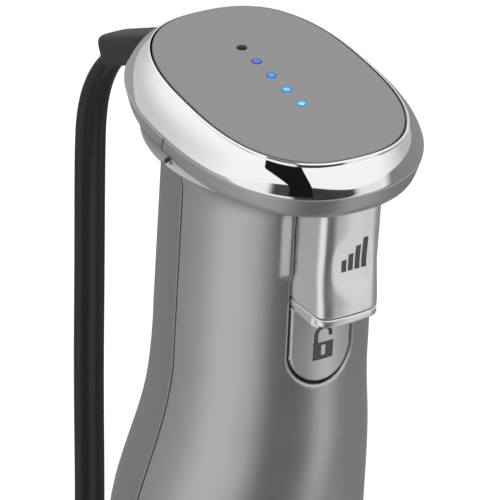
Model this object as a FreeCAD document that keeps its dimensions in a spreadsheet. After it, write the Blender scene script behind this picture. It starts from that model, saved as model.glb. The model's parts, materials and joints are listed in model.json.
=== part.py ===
"""A corded stick blender standing on its bell guard.

Millimetres, +Z up. The origin is on the floor, straight below the middle of the oblong cap. The trigger
faces -Y, the cord leaves towards +Y, and the motor and blade turn about a vertical axis that lies axis_offset
behind the origin.
"""

import FreeCAD, Part
import math
import os
import re
import Sketcher
from FreeCAD import Placement, Rotation, Vector

# The driving sizes. Each becomes one cell of the spreadsheet.
SIZES = {
    # overall
    "shaft_length": 190.0,
    "bay_length": 76.5,
    "grip_length": 133.5,
    "axis_offset": 8.6,
    # clearances
    "running_gap": 0.05,
    "slide_gap": 0.3,
    "seam_gap": 0.3,
    "button_gap": 0.5,
    # cap
    "plate_half_length": 37.2,
    "plate_half_width": 23.4,
    "plate_power": 2.6,
    "plate_thickness": 2.6,
    "plate_gap": 0.45,
    "ring_half_length": 42.8,
    "ring_half_width": 29.9,
    "ring_power": 2.3,
    "ring_drop": 8.5,
    "ring_bulge": 0.5,
    "ring_wall": 2.2,
    "ledge_width": 1.8,
    "ledge_thickness": 2.0,
    "band_half_length": 40.2,
    "band_half_width": 27.3,
    "band_drop": 15.4,
    "head_floor": 2.0,
    "lug_radius": 2.8,
    "lug_x": 13.5,
    "lug_y": 30.0,
    "ring_screw_radius": 1.1,
    # lights
    "light_pitch": 7.25,
    "light_shift": 2.2,
    "light_radius": 1.45,
    "board_thickness": 1.6,
    "led_height": 1.3,
    # grip shells
    "wall": 2.2,
    "neck_half_length": 28.8,
    "neck_half_width": 24.7,
    "neck_shift": 1.9,
    "neck_taper": 0.8,
    "swell_length": 68.0,
    "bay_radius": 31.5,
    "foot_taper": 1.8,
    "foot_height": 13.0,
    "seam_shift": 0.5,
    # raised pad round the trigger
    "pad_half_width": 13.0,
    "pad_reach": 25.5,
    "pad_drop": 38.0,
    "pad_slope": 4.0,
    # trigger
    "trigger_half_width": 8.5,
    "trigger_reach": 36.5,
    "trigger_root": 22.2,
    "trigger_corner": 2.8,
    "trigger_wall": 1.5,
    "trigger_drop": 44.1,
    "lip_height": 2.2,
    "lip_inset": 0.3,
    "dish_depth": 0.7,
    "dish_radius": 24.0,
    "pivot_drop": 21.0,
    "pivot_reach": 20.0,
    "pivot_radius": 1.5,
    "pivot_boss": 3.4,
    "pad_to_slider": 16.0,
    # speed slider and sensor
    "slider_radius": 2.0,
    "slider_head": 3.2,
    "slider_front": 11.5,
    "sensor_front": 3.5,
    "sensor_depth": 7.5,
    "sensor_half_width": 5.0,
    "sensor_height": 12.0,
    # lock button
    "lock_half_width": 8.6,
    "lock_drop": 70.0,
    "lock_height": 19.6,
    "lock_inset": 0.15,
    "lock_back": 20.0,
    "lock_flange": 1.6,
    "lock_flange_height": 1.2,
    "lock_stem_radius": 2.0,
    "lock_stem_length": 6.6,
    "lock_travel": 2.2,
    "switch_depth": 8.0,
    "switch_half_width": 6.0,
    # springs
    "spring_wire": 0.35,
    # control board
    "board_front": 11.2,
    "board_half_width": 16.0,
    "board_low": 34.0,
    "board_high": 22.0,
    # motor
    "stator_radius": 26.5,
    "stator_bore": 15.5,
    "stator_low": 40.0,
    "stator_high": 8.5,
    "yoke_width": 4.0,
    "pole_angle": 94.0,
    "coil_angle": 118.0,
    "coil_overhang": 6.0,
    "mount_width": 6.0,
    "air_gap": 0.5,
    "rotor_slots": 12,
    "slot_width": 3.0,
    "slot_depth": 7.0,
    "motor_shaft_radius": 3.0,
    "commutator_radius": 8.5,
    "commutator_height": 12.0,
    "segment_count": 12,
    "bearing_radius": 8.0,
    "bearing_height": 5.0,
    "bracket_radius": 20.0,
    "bracket_thickness": 3.0,
    "fan_radius": 21.0,
    "fan_height": 8.0,
    "fan_blades": 9,
    "motor_screw_radius": 1.5,
    "motor_screw_ring": 24.4,
    # foot of the body
    "foot_ring_height": 10.0,
    "spigot_radius": 17.0,
    "spigot_height": 13.0,
    "base_screw_ring": 23.0,
    # release buttons
    "release_height": 18.0,
    "release_radius": 6.0,
    "release_proud": 0.8,
    # couplers
    "coupler_radius": 8.0,
    "coupler_height": 13.0,
    "hex_half_flats": 4.2,
    "hex_gap": 0.35,
    # blending shaft
    "tube_radius": 12.0,
    "tube_wall": 1.0,
    "collar_height": 24.0,
    "bell_radius": 33.0,
    "bell_height": 40.0,
    "bell_wall": 1.4,
    "bell_skirt": 18.0,
    "window_width": 18.0,
    "window_low": 4.0,
    "window_height": 10.0,
    "drive_radius": 2.5,
    "bushing_height": 14.0,
    "blade_height": 11.0,
    "blade_reach": 23.0,
    "blade_thickness": 1.5,
    # cord
    "cord_size": 6.0,
    "boot_width": 10.0,
    "boot_thickness": 7.6,
    "boot_root": 38.0,
    "boot_angle": 28.0,
    "boot_drop": 10.1,
    "boot_length": 43.0,
    "coil_radius": 44.0,
    "coil_height": 16.5,
    "coil_width": 17.0,
    "coil_centre": 126.0,
    "tie_width": 12.0,
    "tie_band": 1.5,
    "plug_length": 34.0,
    "plug_width": 24.0,
    "plug_height": 16.0,
    "pin_length": 17.0,
    "pin_width": 6.3,
    "pin_thickness": 1.5,
    "pin_spacing": 12.7,
}

doc = FreeCAD.newDocument("stick_blender")
sheet = doc.addObject("Spreadsheet::Sheet", "dims")
for row, (alias, value) in enumerate(SIZES.items(), start=1):
    sheet.set(f"A{row}", str(value))
    sheet.setAlias(f"A{row}", alias)
doc.recompute()
pieces = []

# Levels above the floor, as formulas of the sheet.
FOOT = "shaft_length"
BAY_TOP = "(shaft_length + bay_length)"
TOP = "(shaft_length + bay_length + grip_length)"
STACK_LOW = "(shaft_length + stator_low)"
STACK_HIGH = "(shaft_length + bay_length - stator_high)"
STACK_HEIGHT = "(bay_length - stator_high - stator_low)"
AXIS = "axis_offset"


# ---------------------------------------------------------------- helpers
def read(alias):
    """One size of the sheet, as a number."""
    return float(getattr(sheet, alias))


def formula(text):
    """Puts the sheet's name in front of each alias of an expression."""
    return re.sub(r"[a-z]\w+", lambda word: "dims." + word[0] if word[0] in SIZES else word[0], str(text))


def bind(thing, name, text):
    thing.setExpression(name, formula(text))


def place(thing, x="0", y="0", z="0", turn=None):
    """Binds where a thing stands; turn is an axis and an angle in degrees."""
    if turn:
        thing.Placement = Placement(Vector(), Rotation(Vector(*turn[0]), turn[1]))
    for axis, text in (("x", x), ("y", y), ("z", z)):
        bind(thing, "Placement.Base." + axis, text)
    return thing


def piece(thing, label):
    """Names a finished sub-part and lists it for export."""
    thing.Label = label
    pieces.append(thing)
    return thing


def box(name, x, y, z):
    """A box between two formulas on each axis."""
    solid = doc.addObject("Part::Box", name)
    for prop, (low, high) in zip(("Length", "Width", "Height"), (x, y, z)):
        bind(solid, prop, f"({high}) - ({low})")
    return place(solid, x[0], y[0], z[0])


def cylinder(name, radius, low, height, x="0", y=AXIS, angle=None, start=0.0):
    """An upright cylinder, or a sector of one that starts at an angle from +X."""
    solid = doc.addObject("Part::Cylinder", name)
    bind(solid, "Radius", radius)
    bind(solid, "Height", height)
    if angle:
        bind(solid, "Angle", angle)
    return place(solid, x, y, low, ((0, 0, 1), start))


def rod(name, radius, x, y, z, length, along):
    """A lying cylinder that runs towards +X, -X or +Y."""
    solid = doc.addObject("Part::Cylinder", name)
    bind(solid, "Radius", radius)
    bind(solid, "Height", length)
    turns = {"+X": ((0, 1, 0), 90), "-X": ((0, 1, 0), -90), "+Y": ((1, 0, 0), -90)}
    return place(solid, x, y, z, turns[along])


def fuse(name, *solids):
    joined = doc.addObject("Part::MultiFuse", name)
    joined.Shapes = list(solids)
    return joined


def cut(name, base, *tools):
    result = doc.addObject("Part::Cut", name)
    result.Base = base
    result.Tool = tools[0] if len(tools) == 1 else fuse(name + "_tools", *tools)
    return result


def common(name, first, second):
    result = doc.addObject("Part::Common", name)
    result.Base = first
    result.Tool = second
    return result


def shaped(name, shape):
    feature = doc.addObject("Part::Feature", name)
    feature.Shape = shape
    return feature


def draw(body, plane, corners, name):
    """A closed sketch of straight sides whose corners are bound to formulas.

    The corners start spread on a circle, and their bound distances move them into place.
    """
    drawing = body.newObject("Sketcher::SketchObject", name)
    origin = [item for item in body.Origin.OriginFeatures if item.Role == plane][0]
    drawing.AttachmentSupport = [(origin, "")]
    drawing.MapMode = "FlatFace"
    count = len(corners)
    steps = [2 * math.pi * step / count for step in range(count)]
    ring = [Vector(300 + 100 * math.cos(step), 300 + 100 * math.sin(step), 0) for step in steps]
    drawing.addGeometry([Part.LineSegment(ring[i], ring[(i + 1) % count]) for i in range(count)], False)
    for i in range(count):
        drawing.addConstraint(Sketcher.Constraint("Coincident", i, 2, (i + 1) % count, 1))
    for i, corner in enumerate(corners):
        for kind, text in zip(("DistanceX", "DistanceY"), corner):
            index = drawing.addConstraint(Sketcher.Constraint(kind, -1, 1, i, 1, 1.0))
            bind(drawing, f"Constraints[{index}]", text)
    return drawing


def turned(label, corners):
    """A body of revolution about the motor axis from (radius, height) corners."""
    body = doc.addObject("PartDesign::Body", label)
    profile = draw(body, "XZ_Plane", corners, label + "_profile")
    revolution = body.newObject("PartDesign::Revolution", label + "_turn")
    revolution.Profile = profile
    revolution.ReferenceAxis = (profile, ["V_Axis"])
    revolution.Angle = 360
    place(body, y=AXIS)
    return body


def tube(label, outer, inner, low, height):
    """A plain ring about the motor axis."""
    high = f"{low} + {height}"
    return turned(label, [(inner, low), (outer, low), (outer, high), (inner, high)])


def padded(label, plane, corners, length, x="0", y="0", z="0"):
    """A body made by padding one straight-sided sketch."""
    body = doc.addObject("PartDesign::Body", label)
    profile = draw(body, plane, corners, label + "_profile")
    pad = body.newObject("PartDesign::Pad", label + "_pad")
    pad.Profile = profile
    bind(pad, "Length", length)
    place(body, x, y, z)
    return body


def spring(name, radius, length, coils, x, y, z, turn):
    """A wire helix of a given length that starts at a point and follows a turned Z axis."""
    helix = doc.addObject("Part::Helix", name + "_path")
    bind(helix, "Radius", radius)
    bind(helix, "Height", f"{length} - 2 * spring_wire - slide_gap")
    bind(helix, "Pitch", f"({length} - 2 * spring_wire - slide_gap) / {coils}")
    wire = doc.addObject("Part::Circle", name + "_wire")
    bind(wire, "Radius", "spring_wire")
    wire.Placement = Placement(Vector(0, 0, 0), Rotation(Vector(1, 0, 0), 90))
    bind(wire, "Placement.Base.x", radius)
    sweep = doc.addObject("Part::Sweep", name)
    sweep.Sections = [wire]
    sweep.Spine = (helix, ["Edge1"])
    sweep.Solid = True
    sweep.Frenet = True
    return place(sweep, x, y, z, turn)


# ---------------------------------------------------------------- shells
OUTLINE_POINTS = 24
STATION_STEP = 9.0
top = read("shaft_length") + read("bay_length") + read("grip_length")
bay_top = read("shaft_length") + read("bay_length")
crease = top - read("ring_drop")
underside = top - read("band_drop")


def outline(half_width, half_length, power, height, centre=0.0):
    """The rounded oblong |x / a|^n + |y / b|^n = 1 at one height."""
    points = []
    for step in range(OUTLINE_POINTS):
        turn = 2 * math.pi * step / OUTLINE_POINTS
        across, along = math.cos(turn), math.sin(turn)
        reach = (abs(across) ** power + abs(along) ** power) ** (-1 / power)
        points.append(Vector(half_width * reach * across, centre + half_length * reach * along, height))
    curve = Part.BSplineCurve()
    curve.interpolate(Points=points, PeriodicFlag=True)
    return Part.Wire([curve.toShape()])


def loft(wires, ruled=True):
    return Part.makeLoft(wires, True, ruled)


def swell(height):
    """0 in the neck, 1 in the motor bay, with a smooth step between them."""
    share = (bay_top + read("swell_length") - height) / read("swell_length")
    share = min(max(share, 0.0), 1.0)
    return share * share * (3 - 2 * share)


def grip_section(height, inset=0.0):
    """The grip's outline at a height, moved inwards by inset."""
    grown = swell(height)
    above = max(height - bay_top - read("swell_length"), 0.0) / (read("grip_length") - read("swell_length"))
    below = max(read("shaft_length") + read("foot_height") - height, 0.0) / read("foot_height")
    trim = inset + read("neck_taper") * above + read("foot_taper") * below**2
    half_width = read("neck_half_width") * (1 - grown) + read("bay_radius") * grown
    half_length = read("neck_half_length") * (1 - grown) + read("bay_radius") * grown
    centre = read("neck_shift") * (1 - grown) + read("axis_offset") * grown
    return outline(half_width - trim, half_length - trim, 2.0, height, centre)


def grip_solid(low, high, inset=0.0):
    """The grip filled up between two heights."""
    count = round((high - low) / STATION_STEP)
    stations = [low + (high - low) * step / count for step in range(count + 1)]
    return loft([grip_section(height, inset) for height in stations], ruled=False)


def seam_blade(side, gap):
    """Everything in front of (-1) or behind (+1) the parting surface, less half of the gap."""
    stations = [read("shaft_length") - 5.0, bay_top]
    stations += [bay_top + read("swell_length") * step / 6 for step in range(1, 7)]
    stations += [top + 5.0]
    rise = read("axis_offset") - read("seam_shift")
    curve = [Vector(-80, read("seam_shift") + rise * swell(z) + side * gap / 2, z) for z in stations]
    far = [Vector(-80, side * 90, stations[-1]), Vector(-80, side * 90, stations[0])]
    spline = Part.BSplineCurve()
    spline.interpolate(Points=curve)
    straight = [Part.makeLine(a, b) for a, b in zip([curve[-1]] + far, far + [curve[0]])]
    return Part.Face(Part.Wire([spline.toShape()] + straight)).extrude(Vector(160, 0, 0))


def block(x, y, z):
    """A plain box shape between two numbers on each axis."""
    return Part.makeBox(x[1] - x[0], y[1] - y[0], z[1] - z[0], Vector(x[0], y[0], z[0]))


def u_prism(half_width, low, high, front, back):
    """A slab with a straight top and a round bottom, seen along Y."""
    middle = low + half_width
    arc = Part.Arc(Vector(-half_width, front, middle), Vector(0, front, low),
                   Vector(half_width, front, middle))
    corners = [Vector(half_width, front, middle), Vector(half_width, front, high)]
    corners += [Vector(-half_width, front, high), Vector(-half_width, front, middle)]
    sides = [Part.makeLine(a, b) for a, b in zip(corners, corners[1:])]
    return Part.Face(Part.Wire([arc.toShape()] + sides)).extrude(Vector(0, back - front, 0))


def head_solid(inset, low):
    """The band under the cap ring filled up, from a height to the ring's crease."""
    power = read("ring_power")
    slope = (read("ring_half_width") - read("band_half_width")) / (crease - underside)
    wires = []
    for height in (low, crease):
        grown = slope * (height - crease) - inset
        wires.append(outline(read("ring_half_width") + grown - 0.3, read("ring_half_length") + grown - 0.3,
                             power, height))
    return loft(wires)


lug_places = [(sx * read("lug_x"), sy * read("lug_y")) for sx in (-1, 1) for sy in (-1, 1)]
grip_outer = grip_solid(read("shaft_length"), underside)
grip_inner = grip_solid(read("shaft_length"), underside, read("wall"))
outer = grip_outer.fuse(head_solid(0.0, underside))

pad_low = top - read("pad_drop")
half_pad = read("pad_half_width")
pad_corners = [Vector(half_pad, 0, underside), Vector(half_pad, 0, pad_low)]
pad_corners += [Vector(half_pad - 4, 0, pad_low - read("pad_slope"))]
pad_corners += [Vector(-v.x, 0, v.z) for v in reversed(pad_corners)]
pad_face = Part.Face(Part.makePolygon(pad_corners + pad_corners[:1]))
trigger_pad = pad_face.extrude(Vector(0, -read("pad_reach"), 0))
outer = outer.fuse(trigger_pad)

inner_neck = Part.Face(grip_section(underside, read("wall"))).extrude(Vector(0, 0, read("head_floor") + 0.2))
inner = grip_inner.fuse([head_solid(read("ring_wall"), underside + read("head_floor")), inner_neck])
shell = outer.cut(inner)

pivot_z = top - read("pivot_drop")
boss = read("pivot_boss")
opening_half = read("trigger_half_width") + read("button_gap")
ribs = [block((side * opening_half, side * 14) if side > 0 else (-14, -opening_half),
              (-read("pivot_reach") - boss, -read("pivot_reach") + boss - 0.6), (pivot_z - boss,
                                                                                 pivot_z + boss))
        for side in (-1, 1)]
switch_front = -read("lock_back") + read("lock_stem_length") + read("lock_travel") + 0.8
lock_z = top - read("lock_drop") + read("lock_half_width")
for side in (-1, 1):
    near = side * (read("switch_half_width") + 0.05)
    spans = sorted((near, side * 24.0))
    ribs.append(block(spans, (switch_front + 1.0, switch_front + 4.0), (lock_z - 3.0, lock_z + 3.0)))
rail_gap = 0.1
for side in (-1, 1):
    spans = sorted((side * (read("board_half_width") - 1.5), side * 24.0))
    front = read("board_front")
    back = front + read("board_thickness")
    heights = (bay_top + read("board_low") + 5.0, top - read("board_high") - 5.0)
    ribs.append(block(spans, (front - rail_gap - 1.6, front - rail_gap), heights))
    ribs.append(block(spans, (back + rail_gap, back + rail_gap + 1.6), heights))
for x, y in lug_places:
    ribs.append(Part.makeCylinder(read("lug_radius"), 2.2,
                                  Vector(x, y, underside + read("head_floor") - 0.1)))
ribs = ribs[0].fuse(ribs[1:])
shell = shell.fuse(ribs.common(grip_outer.fuse(head_solid(0.5, underside))))

opening_low = top - read("lock_drop") - read("button_gap") - 0.3
opening = u_prism(opening_half, opening_low, underside, -60.0, -read("pivot_reach") + boss + 0.2)
boss_guard = block((-opening_half, opening_half), (-60.0, -15.0), (opening_low + 12.0, underside))
pin_hole = Part.makeCylinder(read("pivot_radius"), 26.0, Vector(-13, -read("pivot_reach"), pivot_z),
                             Vector(1, 0, 0))
tools = [boss_guard, pin_hole]
for x, y in lug_places:
    tools.append(Part.makeCylinder(read("ring_screw_radius"), 8.0, Vector(x, y, underside + 0.8)))
release_z = read("shaft_length") + read("release_height")
release_hole = read("release_radius") + read("slide_gap")
for side in (-1, 1):
    start = Vector(side * 20, read("axis_offset"), release_z)
    tools.append(Part.makeCylinder(release_hole, 20.0, start, Vector(side, 0, 0)))

# The boot's axis slopes down from inside the rear of the head.
boot_start = Vector(0, read("boot_root"), top - read("boot_drop"))
slope = math.radians(read("boot_angle"))
boot_along = Vector(0, math.cos(slope), -math.sin(slope))
boot_up = Vector(0, math.sin(slope), math.cos(slope))


def boot_bar(start, length, margin=0.0):
    """A rounded rectangular bar on the boot's axis."""
    across = read("boot_width") / 2 + margin
    high = read("boot_thickness") / 2 + margin
    base = boot_start + boot_along * start
    sides = ((-1, -1), (1, -1), (1, 1), (-1, 1))
    corners = [base + Vector(sx * across, 0, 0) + boot_up * (sz * high) for sx, sz in sides]
    bar = Part.Face(Part.makePolygon(corners + corners[:1])).extrude(boot_along * length)
    long_edges = [edge for edge in bar.Edges if abs(edge.Length - length) < 1e-6]
    return bar.makeFillet(2.2 + margin, long_edges)


tools.append(boot_bar(-8.0, 40.0, 0.1))
shell = shell.cut(opening).cut(tools)


def build_shells():
    for label, side in (("front_shell", -1), ("rear_shell", 1)):
        half = shell.common(seam_blade(side, read("seam_gap")))
        solids = sorted(half.Solids, key=lambda solid: solid.Volume)
        piece(shaped(label, solids[-1]), label)


# ---------------------------------------------------------------- cap
def build_cap():
    plate_top = outline(read("plate_half_width"), read("plate_half_length"), read("plate_power"), top)
    plate = Part.Face(plate_top).extrude(Vector(0, 0, -read("plate_thickness")))
    rim = [edge for edge in plate.Edges if edge.BoundBox.ZMin > top - 0.01]
    plate = plate.makeFillet(0.6, rim)
    light_y = [read("light_shift") + read("light_pitch") * step for step in range(-2, 3)]
    ledge = top - read("plate_thickness")
    holes = [Part.makeCylinder(read("light_radius") + 0.05, 20, Vector(0, y, ledge - 5)) for y in light_y]
    board_top = ledge - 6.4
    studs = [Part.makeCylinder(1.5, ledge - board_top, Vector(0, y, board_top)) for y in (-18.0, 24.0)]
    piece(shaped("top_plate", plate.cut(holes).fuse(studs)), "top_plate")

    gap = read("plate_gap")
    widths = read("plate_half_width") + gap, read("ring_half_width")
    lengths = read("plate_half_length") + gap, read("ring_half_length")
    powers = read("plate_power"), read("ring_power")
    wires = [outline(widths[1] - 0.4, lengths[1] - 0.4, powers[1], crease)]
    for share, bulge in ((0.0, 0.0), (0.5, read("ring_bulge")), (0.95, 0.1)):
        half_width = widths[1] + (widths[0] - widths[1]) * share + bulge
        half_length = lengths[1] + (lengths[0] - lengths[1]) * share + bulge
        power = powers[1] + (powers[0] - powers[1]) * share
        wires.append(outline(half_width, half_length, power, crease + 0.4 + (top - crease - 0.7) * share))
    ring = loft(wires[:2]).fuse(loft(wires[1:], ruled=False))
    recess = Part.Face(outline(widths[0], lengths[0], powers[0], ledge)).extrude(Vector(0, 0, 10))
    narrow = read("ledge_width")
    window = outline(widths[0] - narrow, lengths[0] - narrow, powers[0], crease - 1)
    hollow_top = ledge - read("ledge_thickness")
    hollow_low = outline(widths[1] - read("ring_wall"), lengths[1] - read("ring_wall"), powers[1], crease)
    hollow_high = outline(widths[0] + 0.6, lengths[0] + 0.6, powers[0], hollow_top)
    ring = ring.cut([recess, Part.Face(window).extrude(Vector(0, 0, 20)), loft([hollow_low, hollow_high])])
    low = underside + read("head_floor") + 2.2
    lugs = [Part.makeCylinder(read("lug_radius"), ledge - 0.1 - low, Vector(x, y, low)) for x,
            y in lug_places]
    radius = read("ring_screw_radius")
    bores = [Part.makeCylinder(radius, 20, Vector(x, y, low - 1)) for x, y in lug_places]
    bores += [Part.makeCylinder(2.1, 5, Vector(x, y, ledge - 1.5)) for x, y in lug_places]
    ring = ring.fuse(lugs).cut(bores)
    piece(shaped("chrome_ring", ring), "chrome_ring")

    screws = []
    for x, y in lug_places:
        shank = Part.makeCylinder(radius - 0.05, ledge - 1.5 - underside - 1.2, Vector(x, y, underside + 1.2))
        screws.append(shank.fuse(Part.makeCylinder(2.0, 1.3, Vector(x, y, ledge - 1.5))))
    piece(shaped("ring_screws", Part.makeCompound(screws)), "ring_screws")

    board_z = f"({TOP} - plate_thickness - 6.4 - board_thickness)"
    board = box("led_board_blank", ("-8", "8"), ("-22", "28"), (board_z, f"{board_z} + board_thickness"))
    piece(board, "led_board")
    leds = [box("led", ("-1.3", "1.3"),
                (f"light_shift + {step} * light_pitch - 1.3", f"light_shift + {step} * light_pitch + 1.3"),
                (f"{board_z} + board_thickness",
                 f"{board_z} + board_thickness + led_height")) for step in range(-2, 3)]
    piece(fuse("led_row", *leds), "leds")
    base = f"({board_z} + board_thickness + led_height + 0.1)"
    posts = [cylinder("light_post", "light_radius", base, f"{TOP} - 0.1 - {base}",
                      y=f"light_shift + {step} * light_pitch")
             for step in range(-2, 3)]
    strip = box("light_strip", ("-2.2", "2.2"),
                ("light_shift - 2 * light_pitch - 2.2", "light_shift + 2 * light_pitch + 2.2"),
                (base, f"{base} + 2"))
    piece(fuse("light_bar", strip, *posts), "light_pipe")


# ---------------------------------------------------------------- trigger and lock
def build_trigger():
    cover_low = f"({TOP} - trigger_drop)"
    cover_high = f"({TOP} - band_drop - button_gap)"
    lip_low = f"({cover_low} - lip_height)"

    def nose(label, inset, root, low, high):
        """A slab with two cut front corners, seen from above."""
        half = f"(trigger_half_width - {inset})"
        front = f"(trigger_reach - {inset})"
        near = "0.3 * trigger_corner"
        corners = [("0 - " + half, f"0 - {root}"), (half, f"0 - {root}")]
        corners += [(half, f"0 - {front} + trigger_corner"), (f"{half} - {near}", f"0 - {front} + {near}")]
        corners += [(f"{half} - trigger_corner", f"0 - {front}"),
                    (f"trigger_corner - {half}", f"0 - {front}")]
        corners += [(f"{near} - {half}", f"0 - {front} + {near}"),
                    (f"0 - {half}", f"0 - {front} + trigger_corner")]
        return padded(label, "XY_Plane", corners, f"{high} - ({low})", z=low)

    blank = nose("cover_blank", "0", "trigger_root", cover_low, cover_high)
    hollow = nose("cover_hollow", "trigger_wall", "(trigger_root - 2)", f"({cover_low} - 1)",
                  f"({cover_high} - trigger_wall)")
    dish = rod("finger_dish", "dish_radius", "-20", "0 - trigger_reach - dish_radius + dish_depth",
               f"{TOP} - band_drop - 15.6", "40", "+X")
    piece(cut("cover_cut", blank, hollow, dish), "trigger_cover")

    lip = nose("carrier_lip", "lip_inset", "trigger_root", lip_low, f"({cover_low} - 0.1)")
    core = box("carrier_core",
               ("0 - trigger_half_width + trigger_wall + 0.1", "trigger_half_width - trigger_wall - 0.1"),
               ("0 - trigger_reach + trigger_wall + trigger_corner", "0 - pad_to_slider"),
               (f"{cover_low} - 0.1", f"{cover_high} - trigger_wall - 0.1"))
    slider_z = f"({TOP} - pivot_drop - 16)"
    pad = box("carrier_pad", ("-2.5", "2.5"), ("0 - pad_to_slider", "0 - slider_front - slide_gap"),
              (f"{slider_z} - 1", f"{slider_z} + 1"))
    bore = rod("carrier_bore", "pivot_radius + running_gap", "-15", "0 - pivot_reach", f"{TOP} - pivot_drop",
               "30", "+X")
    piece(cut("carrier_cut", fuse("carrier_blank", lip, core, pad), bore), "trigger_carrier")
    piece(rod("pin", "pivot_radius", "-12.5", "0 - pivot_reach", f"{TOP} - pivot_drop", "25", "+X"),
          "trigger_pin")

    head = rod("slider_head", "slider_head", "0", "0 - slider_front", slider_z, "1.5", "+Y")
    stem = rod("slider_stem", "slider_radius", "0", "0 - slider_front", slider_z,
               "slider_front + sensor_front + 3.5", "+Y")
    piece(fuse("slider", head, stem), "speed_slider")
    sensor = box("sensor_block", ("0 - sensor_half_width", "sensor_half_width"),
                 ("sensor_front", "board_front"), (f"{slider_z} - sensor_height / 2",
                                                   f"{slider_z} + sensor_height / 2"))
    pocket = rod("sensor_bore", "slider_radius + slide_gap", "0", "sensor_front - 1", slider_z,
                 "1 + 3.5 + 2.3 + slide_gap + 0.5", "+Y")
    piece(cut("sensor_cut", sensor, pocket), "speed_sensor")
    piece(spring("slider_spring", "slider_radius + 1.0", "(slider_front - 1.5 + sensor_front)", 6, "0",
                 "0 - slider_front + 1.5 + spring_wire + slide_gap / 2", slider_z, ((1, 0, 0),
                                                                                    -90)), "trigger_spring")


def build_lock():
    low = top - read("lock_drop")
    high = low + read("lock_height")
    half = read("lock_half_width")
    back = -read("lock_back")
    face = u_prism(half, low, high, -60.0, back)
    button = face.common(grip_solid(read("shaft_length"), underside, read("lock_inset")))
    reach = read("lock_flange")
    flange = u_prism(half + reach, low - reach, high, back - read("lock_flange_height"), back)
    button = button.fuse(flange)
    stem_z = low + half
    start = Vector(0, back - 0.1, stem_z)
    button = button.fuse(Part.makeCylinder(read("lock_stem_radius"), read("lock_stem_length") + 0.1, start,
                                           Vector(0, 1, 0)))
    piece(shaped("lock_button", button), "lock_button")

    stem = f"({TOP} - lock_drop + lock_half_width)"
    front = "(0 - lock_back + lock_stem_length + lock_travel + 0.8)"
    switch = box("switch_block", ("0 - switch_half_width", "switch_half_width"),
                 (front, f"{front} + switch_depth"),
                 (f"{stem} - 6", f"{stem} + 6"))
    piece(switch, "enable_switch")
    piece(spring("button_spring", "lock_stem_radius + 1.2", "(lock_stem_length + lock_travel + 0.8)", 5, "0",
                 "0 - lock_back + spring_wire + slide_gap / 2", stem, ((1, 0, 0), -90)), "lock_spring")


# ---------------------------------------------------------------- electronics
def build_electronics():
    low = f"({BAY_TOP} + board_low)"
    back = "(board_front + board_thickness)"
    board = box("control_board_blank", ("0 - board_half_width", "board_half_width"), ("board_front", back),
                (low, f"{TOP} - board_high"))
    piece(board, "control_board")
    can = cylinder("capacitor_can", "5.5", f"{low} + 8", "16", x="-8", y=f"{back} + 5.6")
    piece(can, "board_capacitor")
    sink = box("sink_block", ("2", "13"), (f"{back} + 0.05", f"{back} + 10"), (f"{low} + 6", f"{low} + 38"))
    slots = [box("sink_slot", (f"{x}", f"{x} + 2"), (f"{back} + 2.5", f"{back} + 11"),
                 (f"{low} + 5", f"{low} + 39"))
             for x in (3.5, 6.5, 9.5)]
    piece(cut("sink_cut", sink, *slots), "heat_sink")


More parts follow.
